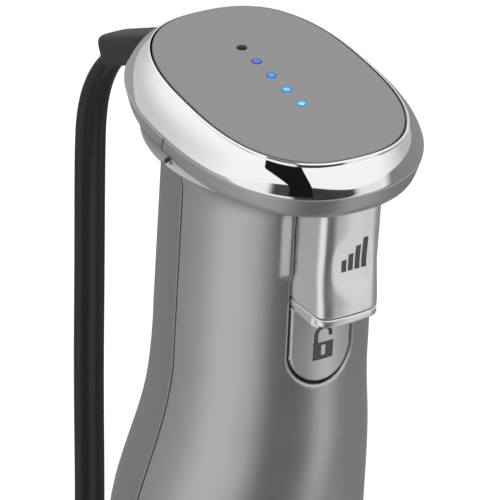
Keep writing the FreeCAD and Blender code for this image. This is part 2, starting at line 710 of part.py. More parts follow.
# ---------------------------------------------------------------- motor
def build_stator():
    yoke = tube("yoke", "stator_radius", "stator_radius - yoke_width", STACK_LOW, STACK_HEIGHT)
    poles = []
    for side in (0.0, 180.0):
        half = read("pole_angle") / 2
        poles.append(cylinder("pole_wedge", "stator_radius - yoke_width + 0.5", STACK_LOW, STACK_HEIGHT,
                              angle="pole_angle", start=side - half))
    bore = cylinder("stator_bore_tool", "stator_bore", f"{STACK_LOW} - 1", f"{STACK_HEIGHT} + 2")
    stack = cut("stack", fuse("stack_blank", yoke, *poles), bore)
    holes = [cylinder("stack_hole", "motor_screw_radius + 0.1", f"{STACK_LOW} - 1", f"{STACK_HEIGHT} + 2",
                      y=f"{AXIS} + {side} * motor_screw_ring") for side in (-1, 1)]
    piece(cut("stack_drilled", stack, *holes), "stator_core")

    coils = []
    for side in (0.0, 180.0):
        wide = cylinder("coil_wide", "stator_radius - yoke_width - 0.4", f"{STACK_LOW} - coil_overhang",
                        f"{STACK_HEIGHT} + 2 * coil_overhang", angle="coil_angle", start=side - read("coil_angle") / 2)
        window = cylinder("coil_window", "stator_radius", f"{STACK_LOW} - 0.2", f"{STACK_HEIGHT} + 0.4",
                          angle="pole_angle + 2", start=side - read("pole_angle") / 2 - 1)
        coils.append(cut("coil", wide, window))
    core = cylinder("coil_bore", "stator_bore + 1.2", f"{STACK_LOW} - 20", f"{STACK_HEIGHT} + 40")
    piece(cut("coil_pair", fuse("coil_blank", *coils), core), "field_coils")

    bore = "stator_radius + running_gap"
    rings = [tube(f"mount_{name}", "bay_radius - wall - slide_gap", bore, level, "mount_width")
             for name, level in (("low", f"({STACK_LOW} + 1)"),
                                 ("high", f"({STACK_HIGH} - 1 - mount_width)"))]
    piece(fuse("mount_pair", *rings), "motor_mounts")

    # The brackets are discs with a bearing seat; feet reach to the stack beside the coils.
    low_disc = f"({STACK_LOW} - coil_overhang - 9 - bracket_thickness)"
    high_disc = f"({STACK_HIGH} + 27)"
    for name, level, feet in (("lower", low_disc, (f"{low_disc}", f"{STACK_LOW}")),
                              ("upper", high_disc, (f"{STACK_HIGH}", f"{high_disc} + bracket_thickness"))):
        disc = tube(f"{name}_disc", "bracket_radius", "bearing_radius", level, "bracket_thickness")
        seat_low = level if name == "upper" else f"({level} + bracket_thickness - bearing_height - 1)"
        seat = tube(f"{name}_seat", "bearing_radius + 2", "bearing_radius", seat_low, "bearing_height + 1")
        legs = [box(f"{name}_leg", ("-4", "4"), (f"{AXIS} + {y0}", f"{AXIS} + {y1}"), feet)
                for y0, y1 in (("22.9", "25.9"), ("-25.9", "-22.9"))]
        legs += [box(f"{name}_arm", ("-4", "4"), (f"{AXIS} + {y0}", f"{AXIS} + {y1}"),
                     (level, f"{level} + bracket_thickness"))
                 for y0, y1 in (("18", "25.9"), ("-25.9", "-18"))]
        blank = fuse(f"{name}_blank", disc, seat, *legs)
        holes = [cylinder(f"{name}_hole", "motor_screw_radius + 0.1", f"{feet[0]} - 1",
                          f"{feet[1]} - {feet[0]} + 2",
                          y=f"{AXIS} + {side} * motor_screw_ring") for side in (-1, 1)]
        vents = []
        if name == "lower":
            for step in range(8):
                turn = math.radians(22.5 + 45 * step)
                vents.append(cylinder("vent", "2.6", f"{level} - 1", "bracket_thickness + 2",
                                      x=f"{14 * math.cos(turn):.3f}", y=f"{AXIS} + {14 * math.sin(turn):.3f}"))
        piece(cut(f"{name}_cut", blank, *holes, *vents), f"{name}_bracket")

    low_seat = f"({low_disc} + bracket_thickness - bearing_height)"
    piece(tube("lower_race", "bearing_radius", "motor_shaft_radius + running_gap", low_seat,
               "bearing_height"), "lower_bearing")
    piece(tube("upper_race", "bearing_radius", "motor_shaft_radius + running_gap", high_disc,
               "bearing_height"), "upper_bearing")

    screws = []
    for side in (-1, 1):
        y = f"{AXIS} + {side} * motor_screw_ring"
        shank = cylinder("long_shank", "motor_screw_radius", low_disc,
                         f"{high_disc} + bracket_thickness - {low_disc}", y=y)
        head = cylinder("long_head", "motor_screw_radius + 0.8", f"{high_disc} + bracket_thickness", "1.8",
                        y=y)
        screws += [shank, head]
    piece(fuse("long_screws", *screws), "motor_screws")

    brush_z = f"({STACK_HIGH} + 16)"
    holders, carbons, coils = [], [], []
    for side, along in ((1, "+X"), (-1, "-X")):
        near, far = sorted((side * 10.0, side * 21.0))
        case = box("holder_case", (str(near), str(far)), (f"{AXIS} - 4", f"{AXIS} + 4"),
                   (f"{brush_z} - 4", f"{brush_z} + 4"))
        near, far = sorted((side * 9.0, side * 19.5))
        slot = box("holder_slot", (str(near), str(far)), (f"{AXIS} - 2.6", f"{AXIS} + 2.6"),
                   (f"{brush_z} - 2.6", f"{brush_z} + 2.6"))
        post = box("holder_post", (str(min(side * 12.0, side * 18.0)), str(max(side * 12.0, side * 18.0))),
                   (f"{AXIS} - 4", f"{AXIS} + 4"), (f"{brush_z} + 3.9", high_disc))
        holders += [cut("holder", fuse("holder_blank", case, post), slot)]
        near, far = sorted((side * 8.6, side * 15.0))
        carbons.append(box("carbon", (str(near), str(far)), (f"{AXIS} - 2.5", f"{AXIS} + 2.5"),
                           (f"{brush_z} - 2.5", f"{brush_z} + 2.5")))
        coils.append(spring("brush_coil", "1.7", "4.4", 4, str(side * 15.45), AXIS, brush_z,
                            ((0, 1, 0), side * 90)))
    piece(fuse("holder_pair", *holders), "brush_holders")
    piece(fuse("carbon_pair", *carbons), "carbon_brushes")
    piece(fuse("brush_coils", *coils), "brush_springs")


def build_rotor():
    body = doc.addObject("PartDesign::Body", "armature")
    edge = "stator_bore - air_gap"
    profile = draw(body, "XZ_Plane",
                   [("motor_shaft_radius", STACK_LOW), (edge, STACK_LOW), (edge, STACK_HIGH),
                                      ("motor_shaft_radius", STACK_HIGH)], "armature_profile")
    turn = body.newObject("PartDesign::Revolution", "armature_turn")
    turn.Profile = profile
    turn.ReferenceAxis = (profile, ["V_Axis"])
    turn.Angle = 360
    doc.recompute()
    near, far = "stator_bore - air_gap - slot_depth", "stator_bore"
    slot = draw(body, "XY_Plane",
                [(near, "0 - slot_width / 2"), (far, "0 - slot_width / 2"), (far, "slot_width / 2"),
                                   (near, "slot_width / 2")], "slot_profile")
    pocket = body.newObject("PartDesign::Pocket", "slot")
    pocket.Profile = slot
    pocket.Type = 1
    pocket.Reversed = True
    pattern = body.newObject("PartDesign::PolarPattern", "slots")
    pattern.Originals = [pocket]
    pattern.Axis = (slot, ["N_Axis"])
    pattern.Angle = 360
    bind(pattern, "Occurrences", "rotor_slots")
    body.Tip = pattern
    place(body, y=AXIS)
    piece(body, "rotor_core")

    count = int(read("rotor_slots"))
    bars = []
    for step in range(count):
        bar = doc.addObject("Part::Box", "slot_bar")
        bind(bar, "Length", "slot_depth - 1.2")
        bind(bar, "Width", "slot_width - 0.2")
        bind(bar, "Height", f"{STACK_HEIGHT} + 1")
        turn = Rotation(Vector(0, 0, 1), 360.0 * step / count)
        corner = turn.multVec(Vector(read("stator_bore") - read("air_gap") - read("slot_depth") + 0.1,
                                     -read("slot_width") / 2 + 0.1, 0))
        bar.Placement = Placement(corner, turn)
        bind(bar, "Placement.Base.y", f"{AXIS} + {corner.y:.4f}")
        bind(bar, "Placement.Base.z", f"{STACK_LOW} - 0.5")
        bars.append(bar)
    ends = [tube(f"winding_{name}", "stator_bore - air_gap - 1", "motor_shaft_radius + 1", level, "7")
            for name, level in (("low", f"({STACK_LOW} - 7.1)"), ("high", f"({STACK_HIGH} + 0.1)"))]
    piece(fuse("winding", *bars, *ends), "rotor_windings")

    comm_low = f"({STACK_HIGH} + 10)"
    drum = tube("commutator_drum", "commutator_radius", "motor_shaft_radius", comm_low, "commutator_height")
    segments = int(read("segment_count"))
    grooves = []
    for step in range(segments):
        groove = doc.addObject("Part::Box", "segment_groove")
        bind(groove, "Length", "2")
        bind(groove, "Width", "0.5")
        bind(groove, "Height", "commutator_height + 2")
        turn = Rotation(Vector(0, 0, 1), 360.0 * (step + 0.5) / segments)
        corner = turn.multVec(Vector(read("commutator_radius") - 1.0, -0.25, 0))
        groove.Placement = Placement(corner, turn)
        bind(groove, "Placement.Base.y", f"{AXIS} + {corner.y:.4f}")
        bind(groove, "Placement.Base.z", f"{comm_low} - 1")
        grooves.append(groove)
    piece(cut("commutator_cut", drum, *grooves), "commutator")

    shaft_low = f"({FOOT} + foot_ring_height + coupler_height - 4)"
    rise = f"{STACK_HIGH} + 27 + bearing_height + 1.5 - {shaft_low}"
    piece(cylinder("armature_shaft", "motor_shaft_radius", shaft_low, rise), "motor_shaft")

    fan_low = f"({STACK_LOW} - coil_overhang - 8.2)"
    hub = tube("fan_hub", "6", "motor_shaft_radius", fan_low, "fan_height - 1")
    disc = tube("fan_disc", "fan_radius", "motor_shaft_radius", fan_low, "1.2")
    blades = []
    for step in range(int(read("fan_blades"))):
        blade = doc.addObject("Part::Box", "fan_blade")
        bind(blade, "Length", "fan_radius - 6")
        bind(blade, "Width", "1")
        bind(blade, "Height", "fan_height - 1")
        turn = Rotation(Vector(0, 0, 1), 360.0 * step / read("fan_blades"))
        corner = turn.multVec(Vector(5.5, -0.5, 0))
        blade.Placement = Placement(corner, turn)
        bind(blade, "Placement.Base.y", f"{AXIS} + {corner.y:.4f}")
        bind(blade, "Placement.Base.z", fan_low)
        blades.append(blade)
    piece(fuse("fan", hub, disc, *blades), "cooling_fan")

    socket_low = f"({FOOT} + foot_ring_height - 5)"
    cup = cylinder("coupler_cup", "coupler_radius", socket_low, "coupler_height")
    hexagon = doc.addObject("Part::Prism", "coupler_socket")
    hexagon.Polygon = 6
    bind(hexagon, "Circumradius", "(hex_half_flats + hex_gap) / 0.8660254")
    bind(hexagon, "Height", "coupler_height - 4")
    place(hexagon, "0", AXIS, f"{socket_low} - 0.5")
    shaft_tool = cylinder("coupler_bore", "motor_shaft_radius", f"{shaft_low}", "10")
    piece(cut("coupler", cup, hexagon, shaft_tool), "drive_coupler")


# ---------------------------------------------------------------- foot of the body
def build_foot():
    floor = f"({FOOT} + 0.5)"
    high = f"({FOOT} + foot_ring_height)"
    edge = "(bay_radius - foot_taper - wall - 0.2)"
    bore = "(spigot_radius + slide_gap)"
    ring = turned("foot_ring",
                  [(bore, floor), (edge, floor), (edge, f"{floor} + 3"), (f"{edge} - 2.5", f"{floor} + 3"),
                                (f"{edge} - 2.5", high), (bore, high)])
    holes = []
    screws = []
    for step in range(4):
        turn = math.radians(45 + 90 * step)
        x = f"{math.cos(turn):.4f} * base_screw_ring"
        y = f"{AXIS} + {math.sin(turn):.4f} * base_screw_ring"
        holes.append(cylinder("foot_hole", "1.3", f"{floor} - 1", f"{high} - {floor} + 2", x=x, y=y))
        holes.append(cylinder("foot_sink", "2.6", f"{floor} - 1", "3", x=x, y=y))
        screws.append(cylinder("foot_screw", "1.25", f"{floor} + 2.05", f"{high} - {floor} - 0.2", x=x, y=y))
        screws.append(cylinder("foot_head", "2.4", f"{floor} + 0.3", "1.7", x=x, y=y))
        screws.append(cylinder("foot_neck", "1.2", f"{floor} + 1.9", "1", x=x, y=y))
    piece(cut("foot_drilled", ring, *holes), "base_ring")
    piece(fuse("foot_screws", *screws), "base_screws")

    for side, along, name in ((1, "+X", "right"), (-1, "-X", "left")):
        z = f"({FOOT} + release_height)"
        start = "22.5"
        reach = f"bay_radius + release_proud - {start}"
        button = rod(f"{name}_button", "release_radius", f"{side} * {start}", AXIS, z, reach, along)
        flange = rod(f"{name}_flange", "release_radius + 1.4", f"{side} * {start}", AXIS, z, "1.4", along)
        piece(fuse(f"{name}_release", button, flange), f"release_button_{name}")
        piece(spring(f"{name}_coil", "3.2", "4", 4, f"{side} * (18.5 + spring_wire + slide_gap / 2)", AXIS, z,
                     ((0, 1, 0), side * 90)), f"release_spring_{name}")


# ---------------------------------------------------------------- blending shaft
def build_blending_shaft():
    joint = f"({FOOT} - collar_height)"
    flare = "(bay_radius - foot_taper)"
    inside = "(tube_radius + running_gap)"
    seat = f"({FOOT} - 0.3)"
    corners = [(inside, joint), ("tube_radius + 2", joint), ("tube_radius + 3.5", f"{joint} + 5"),
               (f"{flare} - 3", f"{seat} - 7"), (flare, f"{seat} - 3"), (flare, seat), ("spigot_radius",
                                                                                        seat),
               ("spigot_radius", f"{FOOT} + spigot_height - 1"), ("spigot_radius - 1",
                                                                  f"{FOOT} + spigot_height"),
               ("spigot_radius - 2.5", f"{FOOT} + spigot_height"), ("spigot_radius - 2.5",
                                                                    f"{seat} - 4"), (inside, f"{seat} - 4")]
    piece(turned("collar", corners), "shaft_collar")

    bell_top = "bell_height"
    tube_top = f"({FOOT} - 6)"
    piece(tube("shaft_skin", "tube_radius", "tube_radius - tube_wall", f"({bell_top} - 2)",
               f"{tube_top} - {bell_top} + 2"), "shaft_tube")

    lip = "bell_wall"
    rim = "bell_radius"
    neck = "(tube_radius + running_gap)"
    outside = [("tube_radius + bell_wall", f"{bell_top} + 3"), ("tube_radius + bell_wall", f"{bell_top} - 4"),
               (f"{rim} - 13", f"{bell_top} - 9"), (f"{rim} - 5", f"{bell_top} - 15"), (f"{rim} - 1",
                                                                                        "bell_skirt + 1"),
               (rim, "bell_skirt - 4"), (rim, "0")]
    inside = [(f"{rim} - {lip}", "0"), (f"{rim} - {lip}", "bell_skirt - 4.5"),
              (f"{rim} - 1.3 - {lip}", "bell_skirt"),
              (f"{rim} - 5.8 - {lip}", f"{bell_top} - 16.2"), (f"{rim} - 13.6", f"{bell_top} - 10.6"),
              ("drive_radius + 4", f"{bell_top} - 6.5"), ("drive_radius + 4", f"{bell_top} - 3"), (neck,
                                                                                                   f"{bell_top} - 3"),
              (neck, f"{bell_top} + 3")]
    bell = turned("bell", outside + inside)
    low, high = "window_low", "(window_low + window_height)"
    windows = [box("window_x", ("-50", "50"), (f"{AXIS} - window_width / 2", f"{AXIS} + window_width / 2"),
                   (low, high)),
               box("window_y", ("0 - window_width / 2", "window_width / 2"), ("-50", f"{AXIS} + 60"),
                   (low, high))]
    piece(cut("bell_cut", bell, *windows), "bell_guard")

    inner = "(tube_radius - tube_wall - running_gap)"
    bore = "(drive_radius + running_gap)"
    rings = [tube("bushing_low", inner, bore, f"({bell_top} + 4)", "bushing_height"),
             tube("bushing_high", inner, bore, f"({tube_top} - bushing_height - 2)", "bushing_height")]
    piece(fuse("bushing_pair", *rings), "shaft_bushings")
    seal = tube("seal", inner, "drive_radius + 0.08", f"({bell_top} - 1.8)", "5")
    piece(seal, "shaft_seal")


def build_spindle():
    low = "(blade_height - 6)"
    high = f"({FOOT} + 4)"
    piece(cylinder("spindle", "drive_radius", low, f"{high} - {low}"), "drive_shaft")

    base = f"({FOOT} - 3)"
    hexagon = doc.addObject("Part::Prism", "driven_hex")
    hexagon.Polygon = 6
    bind(hexagon, "Circumradius", "hex_half_flats / 0.8660254")
    bind(hexagon, "Height", f"{FOOT} + foot_ring_height + 2 - {base}")
    place(hexagon, "0", AXIS, base)
    bore = cylinder("driven_bore", "drive_radius", f"{base} - 1", f"{high} - {base} + 1")
    skirt = cylinder("driven_skirt", "7", base, "3.5")
    piece(cut("driven", fuse("driven_blank", hexagon, skirt), bore), "driven_coupler")

    hub = cylinder("blade_hub", "6", "blade_height - 2", "blade_thickness + 4")
    arms = []
    for side in (1, -1):
        reach = f"{side} * blade_reach"
        corners = [("0", f"{side} * -5"), (f"0.7 * {reach}", f"{side} * -4.5"), (reach, f"{side} * 1"),
                   (f"0.75 * {reach}", f"{side} * 4"), ("0", f"{side} * 5")]
        arms.append(padded(f"arm_{side}".replace("-", "n"), "XY_Plane", corners, "blade_thickness", y=AXIS,
                           z="blade_height"))
    tips = [box("blade_tip", (f"{x} * blade_reach - 4", f"{x} * blade_reach + 4"),
                (f"{AXIS} + {y} - 0.8", f"{AXIS} + {y} + 0.8"),
                ("blade_height", "blade_height + 6")) for x, y in ((0.6, 3.0), (-0.6, -3.0))]
    bore = cylinder("blade_bore", "drive_radius", "blade_height - 5", "15")
    piece(cut("blade_cut", fuse("blade_blank", hub, *arms, *tips), bore), "blade")

    nut = doc.addObject("Part::Prism", "nut_hex")
    nut.Polygon = 6
    bind(nut, "Circumradius", "4.6")
    bind(nut, "Height", "3")
    place(nut, "0", AXIS, "blade_height - 5.1")
    thread = cylinder("nut_bore", "drive_radius", "blade_height - 7", "8")
    piece(cut("nut", nut, thread), "blade_nut")


# ---------------------------------------------------------------- cord
# The cord's route, chosen by hand: from the boot's end down beside the body and into the coil on the floor.
CORD_POINTS = [(0, 60.6, 377.6), (0, 73, 371), (0, 82.2, 360.4), (0, 87, 347.3), (0, 86.8, 330), (0, 85.4, 304),
               (0, 83.9, 268), (0, 80.8, 228), (-1, 78, 188), (-3.5, 76, 150), (-10, 74.5, 114), (-19, 74, 80),
               (-30, 76, 50), (-40, 83, 27), (-48, 102, 13)]
# The cord's end, from the last turn of the coil to the plug.
LEAD_POINTS = [(49.4, 126, 5), (49, 101, 6.5), (46, 79, 8)]


def cord_path(points):
    """Straight runs joined by tangent arcs as large as the two runs allow."""
    places = [Vector(*point) for point in points]
    edges = []
    start = places[0]
    radii = []
    for before, corner, after in zip(places, places[1:], places[2:]):
        into, away = corner - before, after - corner
        share = 0.45 * min(into.Length, away.Length)
        arrive = into.normalize()
        leave = away.normalize()
        half_turn = arrive.getAngle(leave) / 2
        radius = share / math.tan(half_turn)
        first, last = corner - arrive * share, corner + leave * share
        inward = (leave - arrive).normalize()
        middle = corner + inward * (radius / math.cos(half_turn) - radius)
        edges += [Part.LineSegment(start, first).toShape(), Part.Arc(first, middle, last).toShape()]
        radii.append(radius)
        start = last
    edges.append(Part.LineSegment(start, places[-1]).toShape())
    return Part.Wire(edges), radii


def cord_tube(points):
    """A round tube along the route, its arcs' radii and its path's length."""
    path, radii = cord_path(points)
    first, second = Vector(*points[0]), Vector(*points[1])
    circle = Part.Circle(first, (second - first).normalize(), read("cord_size") / 2)
    profile = Part.Wire([circle.toShape()])
    return path.makePipeShell([profile], True, True), radii, path.Length


def largest(shape):
    return max(shape.Solids, key=lambda solid: solid.Volume)


def build_boot():
    """A bar with a rounded end, cut level under the cap ring and upright inside the head."""
    length = read("boot_length")
    bar = boot_bar(-2.0, length)
    rounding = 1.6
    end_y = boot_start.y + math.cos(slope) * (length - 2.0) - read("boot_thickness") / 2
    tip = [edge for edge in bar.Edges if edge.CenterOfMass.y > end_y]
    end_edges = [edge for edge in tip if abs(edge.tangentAt(edge.FirstParameter).dot(boot_along)) < 0.01]
    bar = bar.makeFillet(rounding, end_edges)
    root = block((-10, 10), (boot_start.y - 16, boot_start.y), (boot_start.z - 20, boot_start.z + 20))
    lid = block((-10, 10), (boot_start.y - 12, boot_start.y + 18), (crease - 0.2, crease + 20))
    boot = bar.cut([root, lid])
    piece(shaped("cord_boot_body", boot), "cord_boot")
    return bar


def build_coil(tube_solid):
    """The wound cord as one rounded ring, and the band that ties it."""
    centre_y = read("coil_centre")
    radius, height, width = read("coil_radius"), read("coil_height"), read("coil_width")
    base = Vector(0, centre_y, 0)
    ring = Part.makeCylinder(radius + width / 2, height, base)
    ring = ring.cut(Part.makeCylinder(radius - width / 2, height, base))
    edges = [edge for edge in ring.Edges if isinstance(edge.Curve, Part.Circle)]
    ring = ring.makeFillet(4.0, edges).cut(tube_solid)
    piece(shaped("coil_ring", ring), "cord_coil")

    band = read("tie_band")
    margin = 0.5
    half = read("tie_width") / 2
    near = centre_y + radius - width / 2 - margin
    far = centre_y + radius + width / 2 + margin
    tie = block((-half, half), (near - band, far + band), (0, height + band))
    tie = tie.cut(block((-half - 1, half + 1), (near, far), (0, height)))
    piece(shaped("tie_loop", tie), "cord_tie")
    return ring


def build_plug(ring):
    """The moulded plug that lies beside the coil, its two pins and the cord's tail that joins it."""
    plug_x, plug_y, plug_z = LEAD_POINTS[-1]
    half, high = read("plug_width") / 2, read("plug_height") / 2
    front = plug_y - read("plug_length")
    body = block((plug_x - half, plug_x + half), (front, plug_y), (plug_z - high, plug_z + high))
    body = body.makeFillet(4.0, [edge for edge in body.Edges if abs(edge.tangentAt(0).y) > 0.9])
    piece(shaped("plug_block", body), "plug_body")
    tail, _, _ = cord_tube(LEAD_POINTS)
    piece(shaped("plug_tail", largest(tail.cut(ring).cut(body))), "plug_lead")
    pins = []
    for side in (-1, 1):
        x = plug_x + side * read("pin_spacing") / 2
        thick, wide = read("pin_thickness") / 2, read("pin_width") / 2
        pins.append(block((x - thick, x + thick), (front - read("pin_length"), front),
                          (plug_z - wide, plug_z + wide)))
    piece(shaped("plug_pins", Part.makeCompound(pins)), "plug_blades")


def build_cord():
    bar = build_boot()
    tube_solid, radii, length = cord_tube(CORD_POINTS)
    tube_solid = largest(tube_solid.cut(bar))
    piece(shaped("cord_tube", tube_solid), "power_cord")
    section = math.pi * read("cord_size") ** 2 / 4
    print("cord radii", [round(radius) for radius in radii])
    print("cord volume share", round(tube_solid.Volume / (section * length), 3))
    ring = build_coil(tube_solid)
    build_plug(ring)
    clamp = block((-9, 9), (29.0, 34.0), (underside + 2.05, underside + 3.2))
    piece(shaped("clamp_bar", clamp), "cord_clamp")


def export():
    doc.recompute()
    failed = [thing.Label for thing in doc.Objects if "Invalid" in thing.State or "Error" in thing.State]
    failed += [thing.Label for thing in pieces if thing.Shape.isNull() or not thing.Shape.isValid()]
    if failed:
        raise RuntimeError(f"failed: {failed}")
    os.makedirs("parts", exist_ok=True)
    for thing in pieces:
        thing.Shape.exportStep(f"parts/{thing.Label}.step")
        print(thing.Label, len(thing.Shape.Solids), round(thing.Shape.Volume))


build_shells()
build_cap()
build_trigger()
build_lock()
build_electronics()
build_stator()
build_rotor()
build_foot()
build_blending_shaft()
build_spindle()
build_cord()
export()
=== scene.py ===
"""The looks of a corded stick blender: skins, trim, trigger, lights and cord, on the fixed frame."""
import json
import math

import bmesh
import bpy
import numpy as np
from mathutils import Matrix, Vector

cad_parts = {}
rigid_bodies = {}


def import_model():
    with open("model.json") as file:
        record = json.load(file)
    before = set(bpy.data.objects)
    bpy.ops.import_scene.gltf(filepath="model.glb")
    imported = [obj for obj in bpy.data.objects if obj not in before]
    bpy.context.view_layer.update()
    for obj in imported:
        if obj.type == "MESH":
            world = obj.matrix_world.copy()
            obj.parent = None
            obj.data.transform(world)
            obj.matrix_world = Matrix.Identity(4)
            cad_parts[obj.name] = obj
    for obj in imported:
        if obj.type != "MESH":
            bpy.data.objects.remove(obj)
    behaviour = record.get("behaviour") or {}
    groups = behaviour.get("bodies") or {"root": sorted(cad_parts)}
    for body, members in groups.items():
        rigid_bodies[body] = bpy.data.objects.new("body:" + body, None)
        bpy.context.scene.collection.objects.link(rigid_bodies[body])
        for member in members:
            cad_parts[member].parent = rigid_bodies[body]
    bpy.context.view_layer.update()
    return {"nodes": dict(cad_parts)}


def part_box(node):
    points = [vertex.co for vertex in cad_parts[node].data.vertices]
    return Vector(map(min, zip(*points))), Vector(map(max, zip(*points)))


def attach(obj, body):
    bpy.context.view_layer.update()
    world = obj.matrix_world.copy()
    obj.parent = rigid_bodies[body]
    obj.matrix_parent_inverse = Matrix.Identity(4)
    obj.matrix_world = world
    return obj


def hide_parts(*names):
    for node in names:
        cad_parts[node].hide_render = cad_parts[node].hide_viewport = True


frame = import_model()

MM = 0.001

# Where the frame says things are, in millimetres.
def corners_of(node):
    """A node's lowest and highest corners."""
    low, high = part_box(node)
    return np.array(low) / MM, np.array(high) / MM


rotor_low, rotor_high = corners_of("rotor_core")
TOP = corners_of("top_plate")[1][2]
FOOT = corners_of("front_shell")[0][2]
AXIS_Y = (rotor_low[1] + rotor_high[1]) / 2

# Cap, grip and trigger sizes that the skins repeat, in millimetres.
# An outline is its half-width, half-length, power, centre x, centre y and turn.
PLATE = (23.4, 37.2, 2.6, -0.45, -0.8, -0.03)
GAP = 0.45
RING = (29.9, 42.8, 2.3, 0.0, 1.4, 0.0)
INNER = (PLATE[0] + GAP, PLATE[1] + GAP) + PLATE[2:]
RING_FULL = RING[0] - INNER[0]
BAND_INSET = 1.9
CREASE = TOP - 8.5
UNDERSIDE = TOP - 15.4
NECK = (24.7, 28.8, 1.9)
NECK_TAPER = 0.8
BAY_RADIUS = 31.5
SWELL_LOW = TOP - 133.5
SWELL_HIGH = SWELL_LOW + 68.0
SEAM_SHIFT = 0.5
SEAM_GAP = 0.34
WALL = 1.6
OPENING_HALF = 8.75
OPENING_LOW = TOP - 68.6
PAD_HALF = 10.3
PAD_LOW = TOP - 37.2
PAD_Y = -25.5
TRIGGER_HALF = 8.5
TRIGGER_FRONT = -36.5
TRIGGER_ROOT = -22.2
COVER_LOW = TOP - 43.8
LIP_LOW = COVER_LOW - 2.2
FACE_START = 30.0
LOCK_HALF = 8.3
LOCK_LOW = TOP - 67.9
LOCK_HIGH = TOP - 46.8
LOCK_SINK = 0.1
RELEASE_Z = FOOT + 18.0
RELEASE_RADIUS = 6.3


# ------------------------------------------------------------------ mesh helpers
def quads(rows, columns, keep=None, wrap=False):
    """Face index rows for a grid stored row by row; wrap joins the last column to the first."""
    last = columns if wrap else columns - 1
    row, column = np.meshgrid(np.arange(rows - 1), np.arange(last), indexing="ij")
    beside = (column + 1) % columns
    faces = np.stack([row * columns + column, row * columns + beside, (row + 1) * columns + beside,
                      (row + 1) * columns + column], axis=-1).reshape(-1, 4)
    return faces if keep is None else faces[keep.reshape(-1)]


def build_mesh(name, points, faces, material, merge=False):
    """A smooth mesh object from millimetre points and face rows."""
    mesh = bpy.data.meshes.new(name)
    points = np.asarray(points, dtype=float).reshape(-1, 3)
    mesh.from_pydata((points * MM).tolist(), [], faces.tolist())
    if merge:
        work = bmesh.new()
        work.from_mesh(mesh)
        bmesh.ops.remove_doubles(work, verts=work.verts, dist=2e-6)
        bmesh.ops.dissolve_degenerate(work, edges=work.edges, dist=1e-7)
        work.to_mesh(mesh)
        work.free()
    loose = bmesh.new()
    loose.from_mesh(mesh)
    bmesh.ops.delete(loose, geom=[vert for vert in loose.verts if not vert.link_faces], context="VERTS")
    loose.to_mesh(mesh)
    loose.free()
    mesh.polygons.foreach_set("use_smooth", np.ones(len(mesh.polygons), dtype=bool))
    mesh.materials.append(material)
    thing = bpy.data.objects.new(name, mesh)
    bpy.context.scene.collection.objects.link(thing)
    return thing


def thicken(thing, thickness):
    """Gives a skin a wall on its inner side."""
    solid = thing.modifiers.new("wall", "SOLIDIFY")
    solid.thickness = thickness * MM
    solid.offset = -1.0
    solid.use_even_offset = False
    return thing


def spaced(stops, steps):
    """Values through the stops, with about the given step between each pair."""
    parts = [np.linspace(low, high, max(2, int(round((high - low) / step)) + 1))[:-1]
             for low, high, step in zip(stops, stops[1:], steps)]
    return np.concatenate(parts + [np.array(stops[-1:])])


def smooth(share):
    """0 below 0, 1 above 1, with level ends."""
    share = np.clip(share, 0.0, 1.0)
    return share * share * (3 - 2 * share)


def mixed_outline(first, last, share):
    """Outline values part of the way from one outline to another."""
    return tuple(low + (high - low) * share for low, high in zip(first, last))


def placed_oblong(turn, outline):
    """An oblong with its own centre and turn."""
    half_width, half_length, power, centre_x, centre_y, angle = outline
    x, y = oblong(turn, half_width, half_length, power)
    return (x * np.cos(angle) - y * np.sin(angle) + centre_x,
            x * np.sin(angle) + y * np.cos(angle) + centre_y)


def inward(outline, inset):
    """The outline moved inwards."""
    return (outline[0] - inset, outline[1] - inset) + outline[2:]


def oblong(turn, half_width, half_length, power):
    """Points of |x / a|^n + |y / b|^n = 1 at angles of the stretched circle."""
    across, along = np.cos(turn), np.sin(turn)
    reach = (np.abs(across) ** power + np.abs(along) ** power) ** (-1 / power)
    return half_width * reach * across, half_length * reach * along


def rounded_path(corners, radii, steps=7):
    """A polyline of corners in a plane, with each inner corner replaced by a curve tangent to both sides."""
    corners = [np.array(corner, dtype=float) for corner in corners]
    out = [corners[0]]
    for before, corner, after, radius in zip(corners, corners[1:], corners[2:], radii):
        into = (before - corner) / np.linalg.norm(before - corner)
        away = (after - corner) / np.linalg.norm(after - corner)
        start, end = corner + into * radius, corner + away * radius
        for share in np.linspace(0, 1, steps):
            out.append((1 - share) ** 2 * start + 2 * share * (1 - share) * corner + share**2 * end)
    out.append(corners[-1])
    return np.array(out)


def divided(path, step):
    """The path with long sides split into pieces of about one step."""
    out = []
    for first, second in zip(path, path[1:]):
        count = max(1, int(np.linalg.norm(second - first) / step))
        out += [first + (second - first) * share / count for share in range(count)]
    return np.array(out + [path[-1]])


def edge_drop(distance, radius):
    """How far a rounded edge lies below its face, at a distance from the edge."""
    near = np.clip(1 - distance / radius, 0.0, 1.0)
    return radius * (1 - np.sqrt(np.clip(1 - near**2, 0.0, 1.0)))


# ------------------------------------------------------------------ materials
def new_group(name, inputs, outputs):
    """A shader node group with float inputs {name: default} and named outputs {name: socket type}."""
    group = bpy.data.node_groups.new(name, "ShaderNodeTree")
    for label, default in inputs.items():
        socket = group.interface.new_socket(name=label, in_out="INPUT", socket_type="NodeSocketFloat")
        socket.default_value = default
    group.interface.new_socket(name="Base", in_out="INPUT", socket_type="NodeSocketColor")
    for label, kind in outputs.items():
        group.interface.new_socket(name=label, in_out="OUTPUT", socket_type=kind)
    return group, group.nodes.new("NodeGroupInput"), group.nodes.new("NodeGroupOutput")


